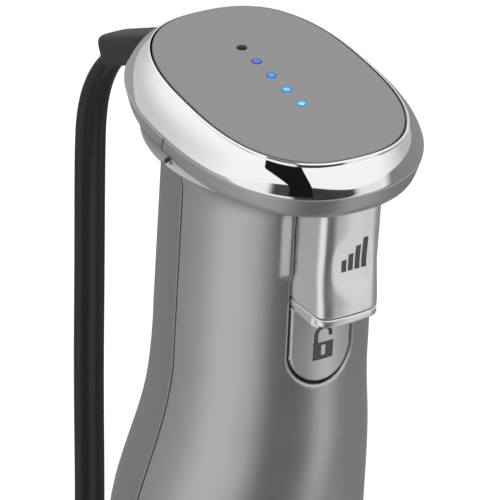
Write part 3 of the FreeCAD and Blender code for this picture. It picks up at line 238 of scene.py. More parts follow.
def grain_group():
    """Grain and slow mottling: colour = base times (1 + mottle); roughness and height follow the grain."""
    group, given, made = new_group(
        "fine_grain", {"Grain scale": 2500.0, "Mottle scale": 60.0, "Mottle": 0.05, "Roughness": 0.35,
                       "Roughness swing": 0.08},
        {"Colour": "NodeSocketColor", "Roughness": "NodeSocketFloat", "Height": "NodeSocketFloat"})
    nodes, links = group.nodes, group.links
    place = nodes.new("ShaderNodeTexCoord")
    fine = nodes.new("ShaderNodeTexNoise")
    fine.inputs["Detail"].default_value = 3.0
    slow = nodes.new("ShaderNodeTexNoise")
    slow.inputs["Detail"].default_value = 4.0
    for texture, scale in ((fine, "Grain scale"), (slow, "Mottle scale")):
        links.new(place.outputs["Object"], texture.inputs["Vector"])
        links.new(given.outputs[scale], texture.inputs["Scale"])
    blend = nodes.new("ShaderNodeMath")
    blend.operation = "ADD"
    links.new(fine.outputs["Fac"], blend.inputs[0])
    links.new(slow.outputs["Fac"], blend.inputs[1])
    centred = nodes.new("ShaderNodeMath")
    centred.operation = "SUBTRACT"
    centred.inputs[1].default_value = 1.0
    links.new(blend.outputs[0], centred.inputs[0])
    swing = nodes.new("ShaderNodeMath")
    swing.operation = "MULTIPLY_ADD"
    swing.inputs[2].default_value = 1.0
    links.new(centred.outputs[0], swing.inputs[0])
    links.new(given.outputs["Mottle"], swing.inputs[1])
    colour = nodes.new("ShaderNodeVectorMath")
    colour.operation = "SCALE"
    links.new(given.outputs["Base"], colour.inputs[0])
    links.new(swing.outputs[0], colour.inputs["Scale"])
    rough = nodes.new("ShaderNodeMath")
    rough.operation = "MULTIPLY_ADD"
    links.new(centred.outputs[0], rough.inputs[0])
    links.new(given.outputs["Roughness swing"], rough.inputs[1])
    links.new(given.outputs["Roughness"], rough.inputs[2])
    links.new(colour.outputs[0], made.inputs["Colour"])
    links.new(rough.outputs[0], made.inputs["Roughness"])
    links.new(fine.outputs["Fac"], made.inputs["Height"])
    return group


GRAIN = grain_group()


def finish(name, colour, roughness, metallic=0.0, grain=2500.0, mottle=0.05, swing=0.06, bump=0.02, coat=0.0,
           mottle_scale=60.0):
    """A material whose colour, roughness and bump come from the grain group."""
    material = bpy.data.materials.new(name)
    material.use_nodes = True
    nodes, links = material.node_tree.nodes, material.node_tree.links
    shader = nodes["Principled BSDF"]
    shader.inputs["Metallic"].default_value = metallic
    shader.inputs["Coat Weight"].default_value = coat
    shader.inputs["Coat Roughness"].default_value = 0.12
    group = nodes.new("ShaderNodeGroup")
    group.node_tree = GRAIN
    group.inputs["Grain scale"].default_value = grain
    group.inputs["Mottle scale"].default_value = mottle_scale
    group.inputs["Mottle"].default_value = mottle
    group.inputs["Roughness"].default_value = roughness
    group.inputs["Roughness swing"].default_value = swing
    group.inputs["Base"].default_value = (*colour, 1.0)
    links.new(group.outputs["Colour"], shader.inputs["Base Color"])
    links.new(group.outputs["Roughness"], shader.inputs["Roughness"])
    if bump:
        relief = nodes.new("ShaderNodeBump")
        relief.inputs["Strength"].default_value = bump
        relief.inputs["Distance"].default_value = 0.0002
        links.new(group.outputs["Height"], relief.inputs["Height"])
        links.new(relief.outputs["Normal"], shader.inputs["Normal"])
    return material


def brushed(name, colour, roughness, along):
    """Brushed metal: grain drawn out along one axis by a stretched mapping."""
    material = finish(name, colour, roughness, metallic=1.0, mottle=0.03)
    nodes, links = material.node_tree.nodes, material.node_tree.links
    place = nodes.new("ShaderNodeTexCoord")
    stretch = nodes.new("ShaderNodeMapping")
    stretch.inputs["Scale"].default_value = [4.0 if axis == along else 900.0 for axis in range(3)]
    lines = nodes.new("ShaderNodeTexNoise")
    lines.inputs["Scale"].default_value = 3.0
    links.new(place.outputs["Object"], stretch.inputs["Vector"])
    links.new(stretch.outputs["Vector"], lines.inputs["Vector"])
    relief = nodes.new("ShaderNodeBump")
    relief.inputs["Strength"].default_value = 0.12
    relief.inputs["Distance"].default_value = 0.0001
    links.new(lines.outputs["Fac"], relief.inputs["Height"])
    links.new(relief.outputs["Normal"], nodes["Principled BSDF"].inputs["Normal"])
    return material


LENS_SHINE = 0.15


def glowing(name, colour, strength):
    """A lens that glows in its own colour over a darker body of the same hue."""
    material = finish(name, tuple(0.3 * part for part in colour), 0.3, mottle=0.2, mottle_scale=900.0,
                      bump=0.0)
    shader = material.node_tree.nodes["Principled BSDF"]
    shader.inputs["Emission Color"].default_value = (*colour, 1.0)
    shader.inputs["Emission Strength"].default_value = strength
    shader.inputs["Specular IOR Level"].default_value = LENS_SHINE
    return material


silver = finish("silver_lacquer", (0.50, 0.50, 0.495), 0.36, metallic=0.92, grain=3200.0, mottle=0.05,
                bump=0.03)
rear_silver = finish("rear_silver_lacquer", (0.35, 0.35, 0.345), 0.42, metallic=0.9, grain=3200.0,
                     mottle=0.05, bump=0.03)
chrome = finish("polished_chrome", (0.93, 0.93, 0.93), 0.035, metallic=1.0, mottle=0.01, swing=0.02, bump=0.0)
plate_metal = finish("grained_plate", (0.28, 0.28, 0.28), 0.40, metallic=0.85, grain=3600.0, mottle=0.4,
                     bump=0.35, mottle_scale=2600.0)
trigger_metal = finish("trigger_silver", (0.86, 0.86, 0.865), 0.3, metallic=0.95, grain=3000.0, mottle=0.03,
                       bump=0.015)
lock_metal = finish("lock_silver", (0.64, 0.64, 0.64), 0.4, metallic=0.85, grain=3000.0, mottle=0.04,
                    bump=0.02)
ink = finish("dark_ink", (0.045, 0.047, 0.05), 0.5, mottle=0.08)
sheath = finish("cord_sheath", (0.008, 0.008, 0.009), 0.5, grain=1500.0, mottle=0.15, bump=0.05)
boot_rubber = finish("boot_rubber", (0.014, 0.014, 0.015), 0.55, grain=2200.0, mottle=0.2, bump=0.12)
black_plastic = finish("black_plastic", (0.025, 0.025, 0.027), 0.45, grain=1800.0, mottle=0.15, bump=0.1)
pale_plastic = finish("pale_plastic", (0.62, 0.60, 0.55), 0.45, grain=1800.0, mottle=0.08, bump=0.05)
steel = brushed("stainless_steel", (0.62, 0.62, 0.63), 0.22, along=2)
plain_steel = finish("bright_steel", (0.55, 0.55, 0.56), 0.25, metallic=1.0, mottle=0.04)
cast_metal = finish("cast_aluminium", (0.55, 0.55, 0.56), 0.5, metallic=1.0, mottle=0.15, grain=900.0,
                    bump=0.2)
laminate = finish("stacked_laminate", (0.18, 0.18, 0.2), 0.45, metallic=0.9, mottle=0.15, bump=0.1)
copper = finish("enamelled_copper", (0.55, 0.2, 0.07), 0.3, metallic=0.9, grain=700.0, mottle=0.25, bump=0.3)
brass = finish("turned_brass", (0.72, 0.5, 0.2), 0.3, metallic=1.0, mottle=0.08)
board_green = finish("board_green", (0.02, 0.16, 0.07), 0.35, mottle=0.15, coat=0.4)
clear_lens = finish("smoked_lens", (0.02, 0.03, 0.08), 0.2, mottle=0.1, coat=0.5, bump=0.0)
# Near-black finish for the strip behind the trigger and lock gap: painted shade inside the gap.
gap_shade_paint = finish("painted_gap_shade", (0.006, 0.006, 0.006), 0.8, mottle=0.2, bump=0.05)
carbon = finish("pressed_carbon", (0.03, 0.03, 0.03), 0.6, mottle=0.2, bump=0.15)

NODE_FINISH = {
    "front_shell": silver, "rear_shell": rear_silver, "chrome_ring": chrome, "top_plate": plate_metal,
    "trigger_cover": trigger_metal, "trigger_carrier": trigger_metal, "lock_button": lock_metal,
    "light_pipe": clear_lens, "leds": clear_lens, "led_board": board_green, "control_board": board_green,
    "heat_sink": cast_metal, "upper_bracket": cast_metal, "lower_bracket": cast_metal,
    "stator_core": laminate, "rotor_core": laminate, "field_coils": copper, "rotor_windings": copper,
    "commutator": copper, "carbon_brushes": carbon, "brush_holders": brass, "shaft_bushings": brass,
    "plug_blades": brass, "cooling_fan": pale_plastic, "speed_slider": pale_plastic,
    "bell_guard": steel, "shaft_tube": steel, "blade": plain_steel, "blade_nut": plain_steel,
    "drive_shaft": plain_steel, "motor_shaft": plain_steel, "trigger_pin": plain_steel,
    "upper_bearing": plain_steel, "lower_bearing": plain_steel, "ring_screws": plain_steel,
    "motor_screws": plain_steel, "base_screws": plain_steel, "trigger_spring": plain_steel,
    "lock_spring": plain_steel, "release_spring_left": plain_steel, "release_spring_right": plain_steel,
    "brush_springs": plain_steel, "cord_boot": boot_rubber, "power_cord": sheath, "cord_coil": sheath,
    "plug_lead": sheath, "plug_body": sheath, "motor_mounts": boot_rubber, "shaft_seal": boot_rubber,
}


def dress_nodes():
    """Gives every CAD node its finish."""
    for name, node in frame["nodes"].items():
        material = NODE_FINISH.get(name, black_plastic)
        parts = [node] + list(node.children_recursive)
        for part in parts:
            if part.type == "MESH":
                part.data.materials.clear()
                part.data.materials.append(material)


# ------------------------------------------------------------------ cap
def swept_outline(profile, outline_at, turns):
    """Carries a profile of (inset, height) rows round an outline that may change with the inset."""
    rows = []
    for inset, height in profile:
        x, y = outline_at(inset, turns)
        rows.append(np.stack([x, y, np.full_like(x, height)], axis=-1))
    return np.array(rows)


def ring_outline(inset, turns):
    """The crease's oblong at inset 0, the recess round the plate at the full inset."""
    share = inset / RING_FULL
    if share <= 0 or share > 1:
        return placed_oblong(turns,
                             inward(RING if share <= 0 else INNER, inset
                                    if share <= 0 else inset - RING_FULL))
    return placed_oblong(turns, mixed_outline(RING, INNER, share))


def make_ring():
    """Polished ring: a slightly convex chamfer between a rounded crease and the gap round the plate."""
    corners = [(1.6, CREASE - 0.35), (-0.05, CREASE - 0.35), (RING_FULL, TOP - 0.1),
               (RING_FULL + 0.05, TOP - 2.6)]
    path = divided(rounded_path(corners, (0.9, 0.5)), 0.35)
    across = np.clip(path[:, 0] / RING_FULL, 0, 1)
    lift = 0.6 * np.sin(np.pi * across) * (path[:, 1] > CREASE)
    path[:, 0] -= lift * 0.79
    path[:, 1] += lift * 0.61
    turns = np.linspace(0, 2 * np.pi, 240, endpoint=False)
    points = swept_outline(path, ring_outline, turns)
    ring = build_mesh("ring_skin", points, quads(len(path), 240, wrap=True), chrome)
    thicken(ring, 0.5)
    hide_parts("chrome_ring")
    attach(ring, "motor_body")


def make_plate():
    """Flat plate with a rounded rim; rows run from the centre out and down the rim."""
    turns = np.linspace(0, 2 * np.pi, 240, endpoint=False)
    rows = []
    for share in np.linspace(0.0, 0.95, 24):
        size = ((PLATE[0] - 0.7) * share, (PLATE[1] - 0.7) * share,
                2.0 + (PLATE[2] - 2.0) * share) + PLATE[3:]
        x, y = placed_oblong(turns, size)
        rows.append(np.stack([x, y, np.full_like(x, TOP)], axis=-1))
    for inset, height in rounded_path([(0.7, TOP), (0.0, TOP), (0.0, TOP - 2.2)], (0.6,), 8):
        x, y = placed_oblong(turns, inward(PLATE, inset))
        rows.append(np.stack([x, y, np.full_like(x, height)], axis=-1))
    plate = build_mesh("plate_skin", np.array(rows)[:, ::-1], quads(len(rows), 240, wrap=True), plate_metal,
                       merge=True)
    thicken(plate, 0.4)
    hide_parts("top_plate")
    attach(plate, "motor_body")


# Rim colour, core colour and glow of each light, from the trigger's end to the rear one, which is dark.
LIGHT_COLOURS = [((0.03, 0.20, 0.55), (0.18, 0.62, 1.0), 0.95), ((0.03, 0.18, 0.52), (0.14, 0.55, 0.95), 0.9),
                 ((0.02, 0.12, 0.45), (0.06, 0.33, 0.80), 0.8), ((0.03, 0.06, 0.36), (0.10, 0.20, 0.65), 0.7),
                 ((0.008, 0.008, 0.01), (0.002, 0.002, 0.003), 0.0)]
LIGHT_PITCH, LIGHT_SHIFT = 7.25, 2.2


def disc(name, centre, profile, material):
    """A low round dome: a profile of (radius, height) rows turned about an upright axis."""
    turns = np.linspace(0, 2 * np.pi, 32, endpoint=False)
    rows = [np.stack([centre[0] + reach * np.cos(turns), centre[1] + reach * np.sin(turns),
                      np.full(32, TOP + rise)], -1)
            for reach, rise in profile]
    return build_mesh(name, np.array(rows), quads(len(rows), 32, wrap=True), material, merge=True)


def make_lights():
    """Five lenses in a row, each a deep rim round a brighter core, brightest towards the trigger."""
    for step, (rim_colour, core_colour, strength) in enumerate(LIGHT_COLOURS):
        along = LIGHT_SHIFT + LIGHT_PITCH * (step - 2)
        centre = (PLATE[3] - along * math.sin(PLATE[5]) + 0.1, along)
        rim = disc(f"lens_rim_{step + 1}", centre,
                   [(1.3, -0.02), (1.3, 0.03), (1.1, 0.07), (0.8, 0.08), (0.0, 0.08)],
                   glowing(f"lens_rim_glow_{step + 1}", rim_colour, strength))
        core = disc(f"lens_core_{step + 1}", centre, [(0.85, 0.07), (0.8, 0.1), (0.45, 0.13), (0.0, 0.14)],
                    glowing(f"lens_core_glow_{step + 1}", core_colour, strength))
        for lens in (rim, core):
            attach(lens, "motor_body")


# ------------------------------------------------------------------ grip shells
# The neck meets the head's underside in a hollow fillet.
FILLET_WIDE, FILLET_HIGH = 5.5, 9.5


def grip_at(height):
    """Half-width, half-length and centre of the grip's oval, and the parting line's y, at heights."""
    height = np.asarray(height, dtype=float)
    grown = smooth((SWELL_HIGH - 4.0 - height) / (SWELL_HIGH - SWELL_LOW - 2.0))
    moved = smooth((SWELL_HIGH - 18.5 - height) / 46.0)
    above = np.clip((height - SWELL_HIGH) / (TOP - SWELL_HIGH), 0, None)
    below = np.clip((FOOT + 13.0 - height) / 13.0, 0, None)
    under = np.clip(1 - (UNDERSIDE - height) / FILLET_HIGH, 0, 1)
    fillet = FILLET_WIDE * (1 - np.sqrt(1 - under**2))
    trim = NECK_TAPER * above + 1.8 * below**2 - fillet
    half_width = NECK[0] * (1 - grown) + BAY_RADIUS * grown - trim
    half_length = NECK[1] * (1 - grown) + BAY_RADIUS * grown - trim
    centre = NECK[2] * (1 - moved) + AXIS_Y * moved
    seam = SEAM_SHIFT + (AXIS_Y - SEAM_SHIFT) * grown
    return half_width, half_length, centre, seam


def front_y(x, height):
    """The grip's front surface at (x, z), with the raised pad beside the trigger."""
    half_width, half_length, centre, _ = grip_at(height)
    base = centre - half_length * np.sqrt(np.clip(1 - (x / half_width) ** 2, 0, 1))
    low = PAD_LOW - 4.0 * np.clip((PAD_HALF - np.abs(x)) / 4.0, 0, 1)
    inside = np.minimum(PAD_HALF - np.abs(x), (height - low) * 0.75)
    return base + smooth(inside / 2.2 + 0.4) * (np.minimum(base, PAD_Y) - base)


def arch_distance(x, height, half, low):
    """Signed distance outside a shape with straight sides and a round bottom."""
    middle = low + half
    return np.where(height < middle, np.hypot(x, height - middle) - half, np.abs(x) - half)


def snap_to_arch(x, height, half, low):
    """Moves points onto the outline of the arch shape."""
    middle = low + half
    reach = np.hypot(x, height - middle)
    round_x = x / np.maximum(reach, 1e-6) * half
    round_z = middle + (height - middle) / np.maximum(reach, 1e-6) * half
    below = height < middle
    return np.where(below, round_x, np.sign(x) * half), np.where(below, round_z, height)


def border_mask(keep):
    """Grid points that touch both a kept and a removed face."""
    rows, columns = keep.shape
    kept = np.zeros((rows + 1, columns + 1), dtype=int)
    gone = np.zeros_like(kept)
    for down in (0, 1):
        for over in (0, 1):
            kept[down:down + rows, over:over + columns] += keep
            gone[down:down + rows, over:over + columns] += ~keep
    return (kept > 0) & (gone > 0)


def grip_skin(side):
    """The outer skin of one shell half, from foot to cap: an oval whose size follows the height."""
    heights = spaced([FOOT, RELEASE_Z - 9, RELEASE_Z + 9, TOP - 74, UNDERSIDE - 3, UNDERSIDE + 0.3],
                     [1.5, 0.7, 1.6, 0.6, 0.3])
    if side < 0:
        shares = spaced([0, 0.01, 0.11, 0.32, 0.68, 0.89, 0.99, 1],
                        [0.002, 0.008, 0.02, 0.0055, 0.02, 0.008, 0.002])
    else:
        shares = spaced([0, 0.01, 0.11, 0.89, 0.99, 1], [0.002, 0.008, 0.02, 0.008, 0.002])
    share, height = np.meshgrid(shares, heights)
    half_width, half_length, centre, seam = grip_at(height)
    edge = np.arcsin(np.clip((seam + side * SEAM_GAP / 2 - centre) / half_length, -1, 1))
    if side < 0:
        turn = (np.pi - edge) + share * (np.pi + 2 * edge)
    else:
        turn = edge + share * (np.pi - 2 * edge)
    x = half_width * np.cos(turn)
    y = centre + half_length * np.sin(turn)
    ends = np.minimum(share, 1 - share) * np.pi * half_length
    drop = edge_drop(ends, 0.35)
    around = np.hypot(y - AXIS_Y, height - RELEASE_Z) - RELEASE_RADIUS
    keep_hole = around + 0 * x
    if side < 0:
        y = np.where(np.abs(x) < PAD_HALF + 4, np.minimum(y, front_y(x, height)), y)
        arch = arch_distance(x, height, OPENING_HALF, OPENING_LOW)
        arch = np.where(y < centre, arch, 50.0)
    else:
        arch = np.full_like(x, 50.0)
    middle = lambda field: (field[1:, 1:] + field[:-1, 1:] + field[1:, :-1] + field[:-1, :-1]) / 4
    keep = (middle(arch) > 0) & (middle(keep_hole) > 0)
    border = border_mask(keep)
    near_arch = border & (np.abs(arch) < 2.0)
    near_hole = border & (np.abs(keep_hole) < 3.0) & ~near_arch
    snapped_x, snapped_z = snap_to_arch(x, height, OPENING_HALF, OPENING_LOW)
    x = np.where(near_arch, snapped_x, x)
    height = np.where(near_arch, np.minimum(snapped_z, UNDERSIDE + 0.3), height)
    y = np.where(near_arch, front_y(x, height), y)
    angle = np.arctan2(height - RELEASE_Z, y - AXIS_Y)
    y = np.where(near_hole, AXIS_Y + RELEASE_RADIUS * np.cos(angle), y)
    height = np.where(near_hole, RELEASE_Z + RELEASE_RADIUS * np.sin(angle), height)
    half_width, half_length, centre, _ = grip_at(height)
    on_oval = np.sign(x) * half_width * np.sqrt(np.clip(1 - ((y - centre) / half_length) ** 2, 0, 1))
    x = np.where(near_hole, on_oval, x)
    arch = np.where(near_arch, 0.0, np.abs(arch))
    hole = np.where(near_hole, 0.0, np.abs(keep_hole))
    drop = np.maximum(drop, np.maximum(edge_drop(arch, 0.55), edge_drop(hole, 0.4)))
    inward_x, inward_y = -x / half_width**2, -(y - centre) / half_length**2
    size = np.hypot(inward_x, inward_y)
    points = np.stack([x + inward_x / size * drop, y + inward_y / size * drop, height], axis=-1)
    faces = quads(len(heights), len(shares), keep)
    return points, faces


def head_skin(side):
    """Flared head above the neck: flat underside, a small round corner and a band up to the ring."""
    corners = [(17.0, UNDERSIDE), (BAND_INSET, UNDERSIDE), (0.12, CREASE - 0.35), (2.2, CREASE - 0.35)]
    path = divided(rounded_path(corners, (2.8, 0.3)), 0.5)
    rows = []
    for inset, height in path:
        half_length = RING[1] - inset
        lean = 4.4 * (CREASE - height) / (CREASE - UNDERSIDE) * max(0.0, 1 - max(0.0, inset - 4.0) / 9.0)
        edge = (SEAM_SHIFT + lean + side * SEAM_GAP / 2 - RING[4]) / half_length
        shares = spaced([0, 0.01, 0.99, 1], [0.0018, 0.008, 0.0018])
        turn = (np.pi - edge) + shares * (np.pi
                                          + 2 * edge) if side < 0 else edge + shares * (np.pi - 2 * edge)
        drop = edge_drop(np.minimum(shares, 1 - shares) * np.pi * half_length, 0.35)
        x, y = placed_oblong(turn, inward(RING, inset))
        scale = 1 - drop / np.hypot(x, y)
        rows.append(np.stack([x * scale, y * scale, np.full_like(x, height)], axis=-1))
    return np.array(rows), quads(len(rows), len(rows[0]))


def make_shells():
    for label, side, material in (("front_shell", -1, silver), ("rear_shell", 1, rear_silver)):
        points, faces = grip_skin(side)
        grip = build_mesh(label + "_grip", points, faces, material)
        points, faces = head_skin(side)
        head = build_mesh(label + "_head", points, faces, silver)
        for skin, wall in ((grip, WALL), (head, 0.8)):
            thicken(skin, wall)
            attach(skin, "motor_body")
        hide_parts(label)
        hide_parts(label)


# ------------------------------------------------------------------ trigger and lock
def trigger_sweep(x, y, height):
    """The finger rest: the front leans out towards the bottom and dips in the middle."""
    front = smooth((-27.0 - y) / 7.0)
    flare = -0.9 * smooth((TOP - 30.0 - height) / 13.0) + 0.25 * np.exp(-(((height - TOP + 32.0) / 7.0) ** 2))
    reach = np.hypot((x - 0.6) / 6.3, (height - TOP + 30.5) / 9.5)
    dish = 0.5 * np.clip(1 - reach**2, 0, 1) ** 1.5 * (y < -33)
    return y + front * flare + dish


def trigger_plan(inset=0.0, step=0.4):
    """U-shaped plan from the left root round the front to the right root."""
    half, front = TRIGGER_HALF - inset, TRIGGER_FRONT + inset
    corners = [(-half, TRIGGER_ROOT), (-half, TRIGGER_ROOT - 4.0), (-half + 0.9, front + 0.4),
               (0, front - 0.25), (half, front + 0.5), (half, TRIGGER_ROOT)]
    return divided(rounded_path(corners, (3.0, 3.0, 3.0, 2.9), 9), step)


def make_trigger():
    """Cover and lip: the same plan carried up a profile with rounded ends."""
    for label, node, low, high, ends, material in (
            ("cover", "trigger_cover", COVER_LOW + 0.12, UNDERSIDE - 0.5, (0.45, 0.45), trigger_metal),
            ("lip", None, LIP_LOW, COVER_LOW - 0.12, (0.6, 0.35), trigger_metal)):
        corners = [(2.0, low), (0.0, low), (0.0, high), (2.0, high)]
        profile = divided(rounded_path(corners, ends, 6), 0.5)
        rows = []
        for inset, height in profile:
            plan = trigger_plan(inset, 0.4)
            base = trigger_plan(0.0, 0.4)
            count = len(base)
            spots = np.linspace(0, 1, count)
            lengths = np.concatenate([[0], np.cumsum(np.linalg.norm(np.diff(plan, axis=0), axis=1))])
            x = np.interp(spots, lengths / lengths[-1], plan[:, 0])
            y = np.interp(spots, lengths / lengths[-1], plan[:, 1])
            z = np.full(count, height)
            rows.append(np.stack([x, trigger_sweep(x, y, z), z], axis=-1))
        skin = build_mesh("trigger_" + label + "_skin", np.array(rows), quads(len(rows), len(rows[0])),
                          material)
        thicken(skin, 0.6)
        if node:
            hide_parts(node)
        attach(skin, "trigger")


def make_lock():
    """Lock button: a patch of the grip's front cut to an arch, with rounded edges."""
    xs = spaced([-LOCK_HALF, LOCK_HALF], [0.3])
    zs = spaced([LOCK_LOW - 0.15, LOCK_HIGH], [0.3])
    x, z = np.meshgrid(xs, zs)
    distance = -arch_distance(x, z, LOCK_HALF, LOCK_LOW)
    middle = (distance[1:, 1:] + distance[:-1, 1:] + distance[1:, :-1] + distance[:-1, :-1]) / 4
    keep = middle > 0
    border = border_mask(keep)
    snapped_x, snapped_z = snap_to_arch(x, z, LOCK_HALF, LOCK_LOW)
    x, z = np.where(border, snapped_x, x), np.where(border, snapped_z, z)
    distance = np.where(border, 0, np.abs(distance))
    distance = np.minimum(distance, LOCK_HIGH - z)
    y = front_y(x, z) + LOCK_SINK + edge_drop(distance, 0.7)
    face = build_mesh("lock_face", np.stack([x, y, z], axis=-1), quads(len(zs), len(xs), keep), lock_metal)
    thicken(face, 3.0)
    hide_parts("lock_button")
    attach(face, "lock_button")


def make_gap_shade_sheet():
    """Dark strip of painted shade behind the gap round the trigger and the lock button: the arch outline
    carried inwards.
    """
    turns = np.linspace(-np.pi, 0, 60)
    rows = []
    for half, depth in ((OPENING_HALF + 0.35, 0.9), (OPENING_HALF - 0.15, 1.1), (OPENING_HALF - 0.75, 1.5)):
        middle = OPENING_LOW + OPENING_HALF
        rise = np.linspace(UNDERSIDE + 0.2, middle, 80)[:-1]
        x = np.concatenate([np.full(79, -half), half * np.cos(turns), np.full(79, half)])
        z = np.concatenate([rise, middle + half * np.sin(turns), rise[::-1]])
        rows.append(np.stack([x, front_y(x, z) + depth, z], axis=-1))
    shade_sheet = build_mesh("gap_liner", np.array(rows), quads(3, len(rows[0])), gap_shade_paint)
    thicken(shade_sheet, 0.3)
    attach(shade_sheet, "motor_body")


def patch(corners, surface, lift, across=6, up=8):
    """A four-sided patch of (x, z) corners laid on a surface y(x, z) and lifted off it."""
    low_left, low_right, high_right, high_left = (np.array(corner, dtype=float) for corner in corners)
    u, v = np.meshgrid(np.linspace(0, 1, across), np.linspace(0, 1, up))
    u, v = u[..., None], v[..., None]
    flat = (low_left * (1 - u) + low_right * u) * (1 - v) + (high_left * (1 - u) + high_right * u) * v
    y = surface(flat[..., 0], flat[..., 1]) - lift
    return np.stack([flat[..., 0], y, flat[..., 1]], axis=-1), quads(up, across)


def band(inner, outer, surface, lift):
    """A strip between two (x, z) lines laid on a surface."""
    flat = np.array([inner, outer])
    y = surface(flat[..., 0], flat[..., 1]) - lift
    return np.stack([flat[..., 0], y, flat[..., 1]], axis=-1), quads(2, len(inner))


def trigger_face(x, z):
    """The trigger's front surface."""
    plan = trigger_plan(0.0, 0.2)
    front = plan[np.abs(plan[:, 1]) > FACE_START]
    return trigger_sweep(x, np.interp(x, *front.T), z)


def place_ink(name, points, faces, body):
    """A printed mark with a hair of depth."""
    mark = build_mesh(name, points, faces, ink)
    thicken(mark, INK_DEPTH)
    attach(mark, body)


# Icon sizes: the bars' heights, spacing and width, then the padlock's body, keyhole and shackle.
BAR_RISES, BAR_LEFT, BAR_PITCH, BAR_WIDTH, BAR_FOOT = (3.2, 4.5, 6.4, 8.3), -2.4, 1.8, 1.35, TOP - 32.2
BODY_LEFT, BODY_RIGHT, BODY_LOW, BODY_HIGH = -2.8, 2.65, TOP - 61.7, TOP - 57.0
KEYHOLE_LEFT, KEYHOLE_RIGHT, KEYHOLE_FOOT, KEYHOLE_HEAD = -0.65, 0.5, 1.1, 0.8
SHACKLE_X, SHACKLE_Z, SHACKLE_OUTER, SHACKLE_INNER, SHACKLE_STUB = -0.2, TOP - 54.8, 2.45, 1.45, 0.8
ICON_LIFT, INK_DEPTH = 0.03, 0.02


def lock_surface(x, z):
    """The lock button's front, just behind the grip's surface."""
    return front_y(x, z) + LOCK_SINK


def make_icons():
    """Four rising bars on the trigger and an open padlock on the lock button."""
    shapes = []
    for step, rise in enumerate(BAR_RISES):
        left = BAR_LEFT + BAR_PITCH * step
        corners = [(left, BAR_FOOT), (left + BAR_WIDTH, BAR_FOOT), (left + BAR_WIDTH - 0.05, BAR_FOOT + rise),
                   (left - 0.05, BAR_FOOT + rise)]
        shapes.append(patch(corners, trigger_face, ICON_LIFT))
    for step, (points, faces) in enumerate(shapes):
        place_ink(f"speed_bar_{step + 1}", points, faces, "trigger")

    left, right, low, high = BODY_LEFT, BODY_RIGHT, BODY_LOW, BODY_HIGH
    hole_left, hole_right = KEYHOLE_LEFT, KEYHOLE_RIGHT
    hole_low, hole_high = low + KEYHOLE_FOOT, high - KEYHOLE_HEAD
    blocks = [[(left, low), (hole_left, low), (hole_left, high), (left, high)],
              [(hole_right, low), (right, low), (right, high), (hole_right, high)],
              [(hole_left, low), (hole_right, low), (hole_right, hole_low), (hole_left, hole_low)],
              [(hole_left, hole_high), (hole_right, hole_high), (hole_right, high), (hole_left, high)]]
    pieces = [patch(block, lock_surface, ICON_LIFT) for block in blocks]
    turns = np.linspace(np.pi, 0.0, 20)
    lines = []
    for radius in (SHACKLE_INNER, SHACKLE_OUTER):
        arc = np.stack([SHACKLE_X + radius * np.cos(turns), SHACKLE_Z + radius * np.sin(turns)], axis=-1)
        start = np.array([[SHACKLE_X - radius, high]])
        end = np.array([[SHACKLE_X + radius, SHACKLE_Z - SHACKLE_STUB]])
        lines.append(np.concatenate([start, arc, end]))
    pieces.append(band(lines[0], lines[1], lock_surface, ICON_LIFT))
    for step, (points, faces) in enumerate(pieces):
        place_ink(f"padlock_{step + 1}", points, faces, "lock_button")


# ------------------------------------------------------------------ cord
CORD_POINTS = [(0, 60.6, 377.6), (0, 73, 371), (0, 82.2, 360.4), (0, 87, 347.3), (0, 86.8, 330),
               (0, 85.4, 304),
               (0, 83.9, 268), (0, 80.8, 228), (-1, 78, 188), (-3.5, 76, 150), (-10, 74.5, 114), (-19, 74,
                                                                                                  80),
               (-30, 76, 50), (-40, 83, 27), (-48, 102, 13)]
LEAD_POINTS = [(49.4, 126, 5), (49, 101, 6.5), (46, 79, 8)]
CORD_WIDTH, CORD_THICKNESS = 7.8, 4.6
COIL_CENTRE, COIL_TURNS, TURN_STEPS = (0.0, 126.0), 4.5, 14
COIL_OUTER, COIL_SHRINK, COIL_TOP, COIL_DROP = 49.6, 9.9, 12.0, 8.0


def coil_points():
    """Two layers of turns: inwards on top, outwards below, clockwise from the left side."""
    steps = int(COIL_TURNS * TURN_STEPS)
    points = []
    for step in range(steps):
        share = step / steps
        turn = np.pi - 2 * np.pi * COIL_TURNS * share
        radius = COIL_OUTER - COIL_SHRINK * (1 - abs(2 * share - 1))
        height = COIL_TOP - COIL_DROP * smooth((share - 0.44) / 0.12)
        points.append((COIL_CENTRE[0] + radius * math.cos(turn), COIL_CENTRE[1] + radius * math.sin(turn),
                       float(height)))
    return points


def smooth_line(points):
    """The points of a NURBS spline with these control points, evaluated."""
    curve = bpy.data.curves.new("cord_route", "CURVE")
    curve.dimensions = "3D"
    curve.resolution_u = 8
    spline = curve.splines.new("NURBS")
    spline.points.add(len(points) - 1)
    spline.points.foreach_set("co",
                              np.concatenate([np.array(points) * MM, np.ones((len(points), 1))],
                                             axis=1).ravel())
    spline.order_u = 3
    spline.use_endpoint_u = True
    holder = bpy.data.objects.new("cord_route", curve)
    bpy.context.scene.collection.objects.link(holder)
    bpy.context.view_layer.update()
    mesh = bpy.data.meshes.new_from_object(holder.evaluated_get(bpy.context.evaluated_depsgraph_get()))
    line = np.empty(len(mesh.vertices) * 3)
    mesh.vertices.foreach_get("co", line)
    bpy.data.objects.remove(holder)
    return line.reshape(-1, 3)


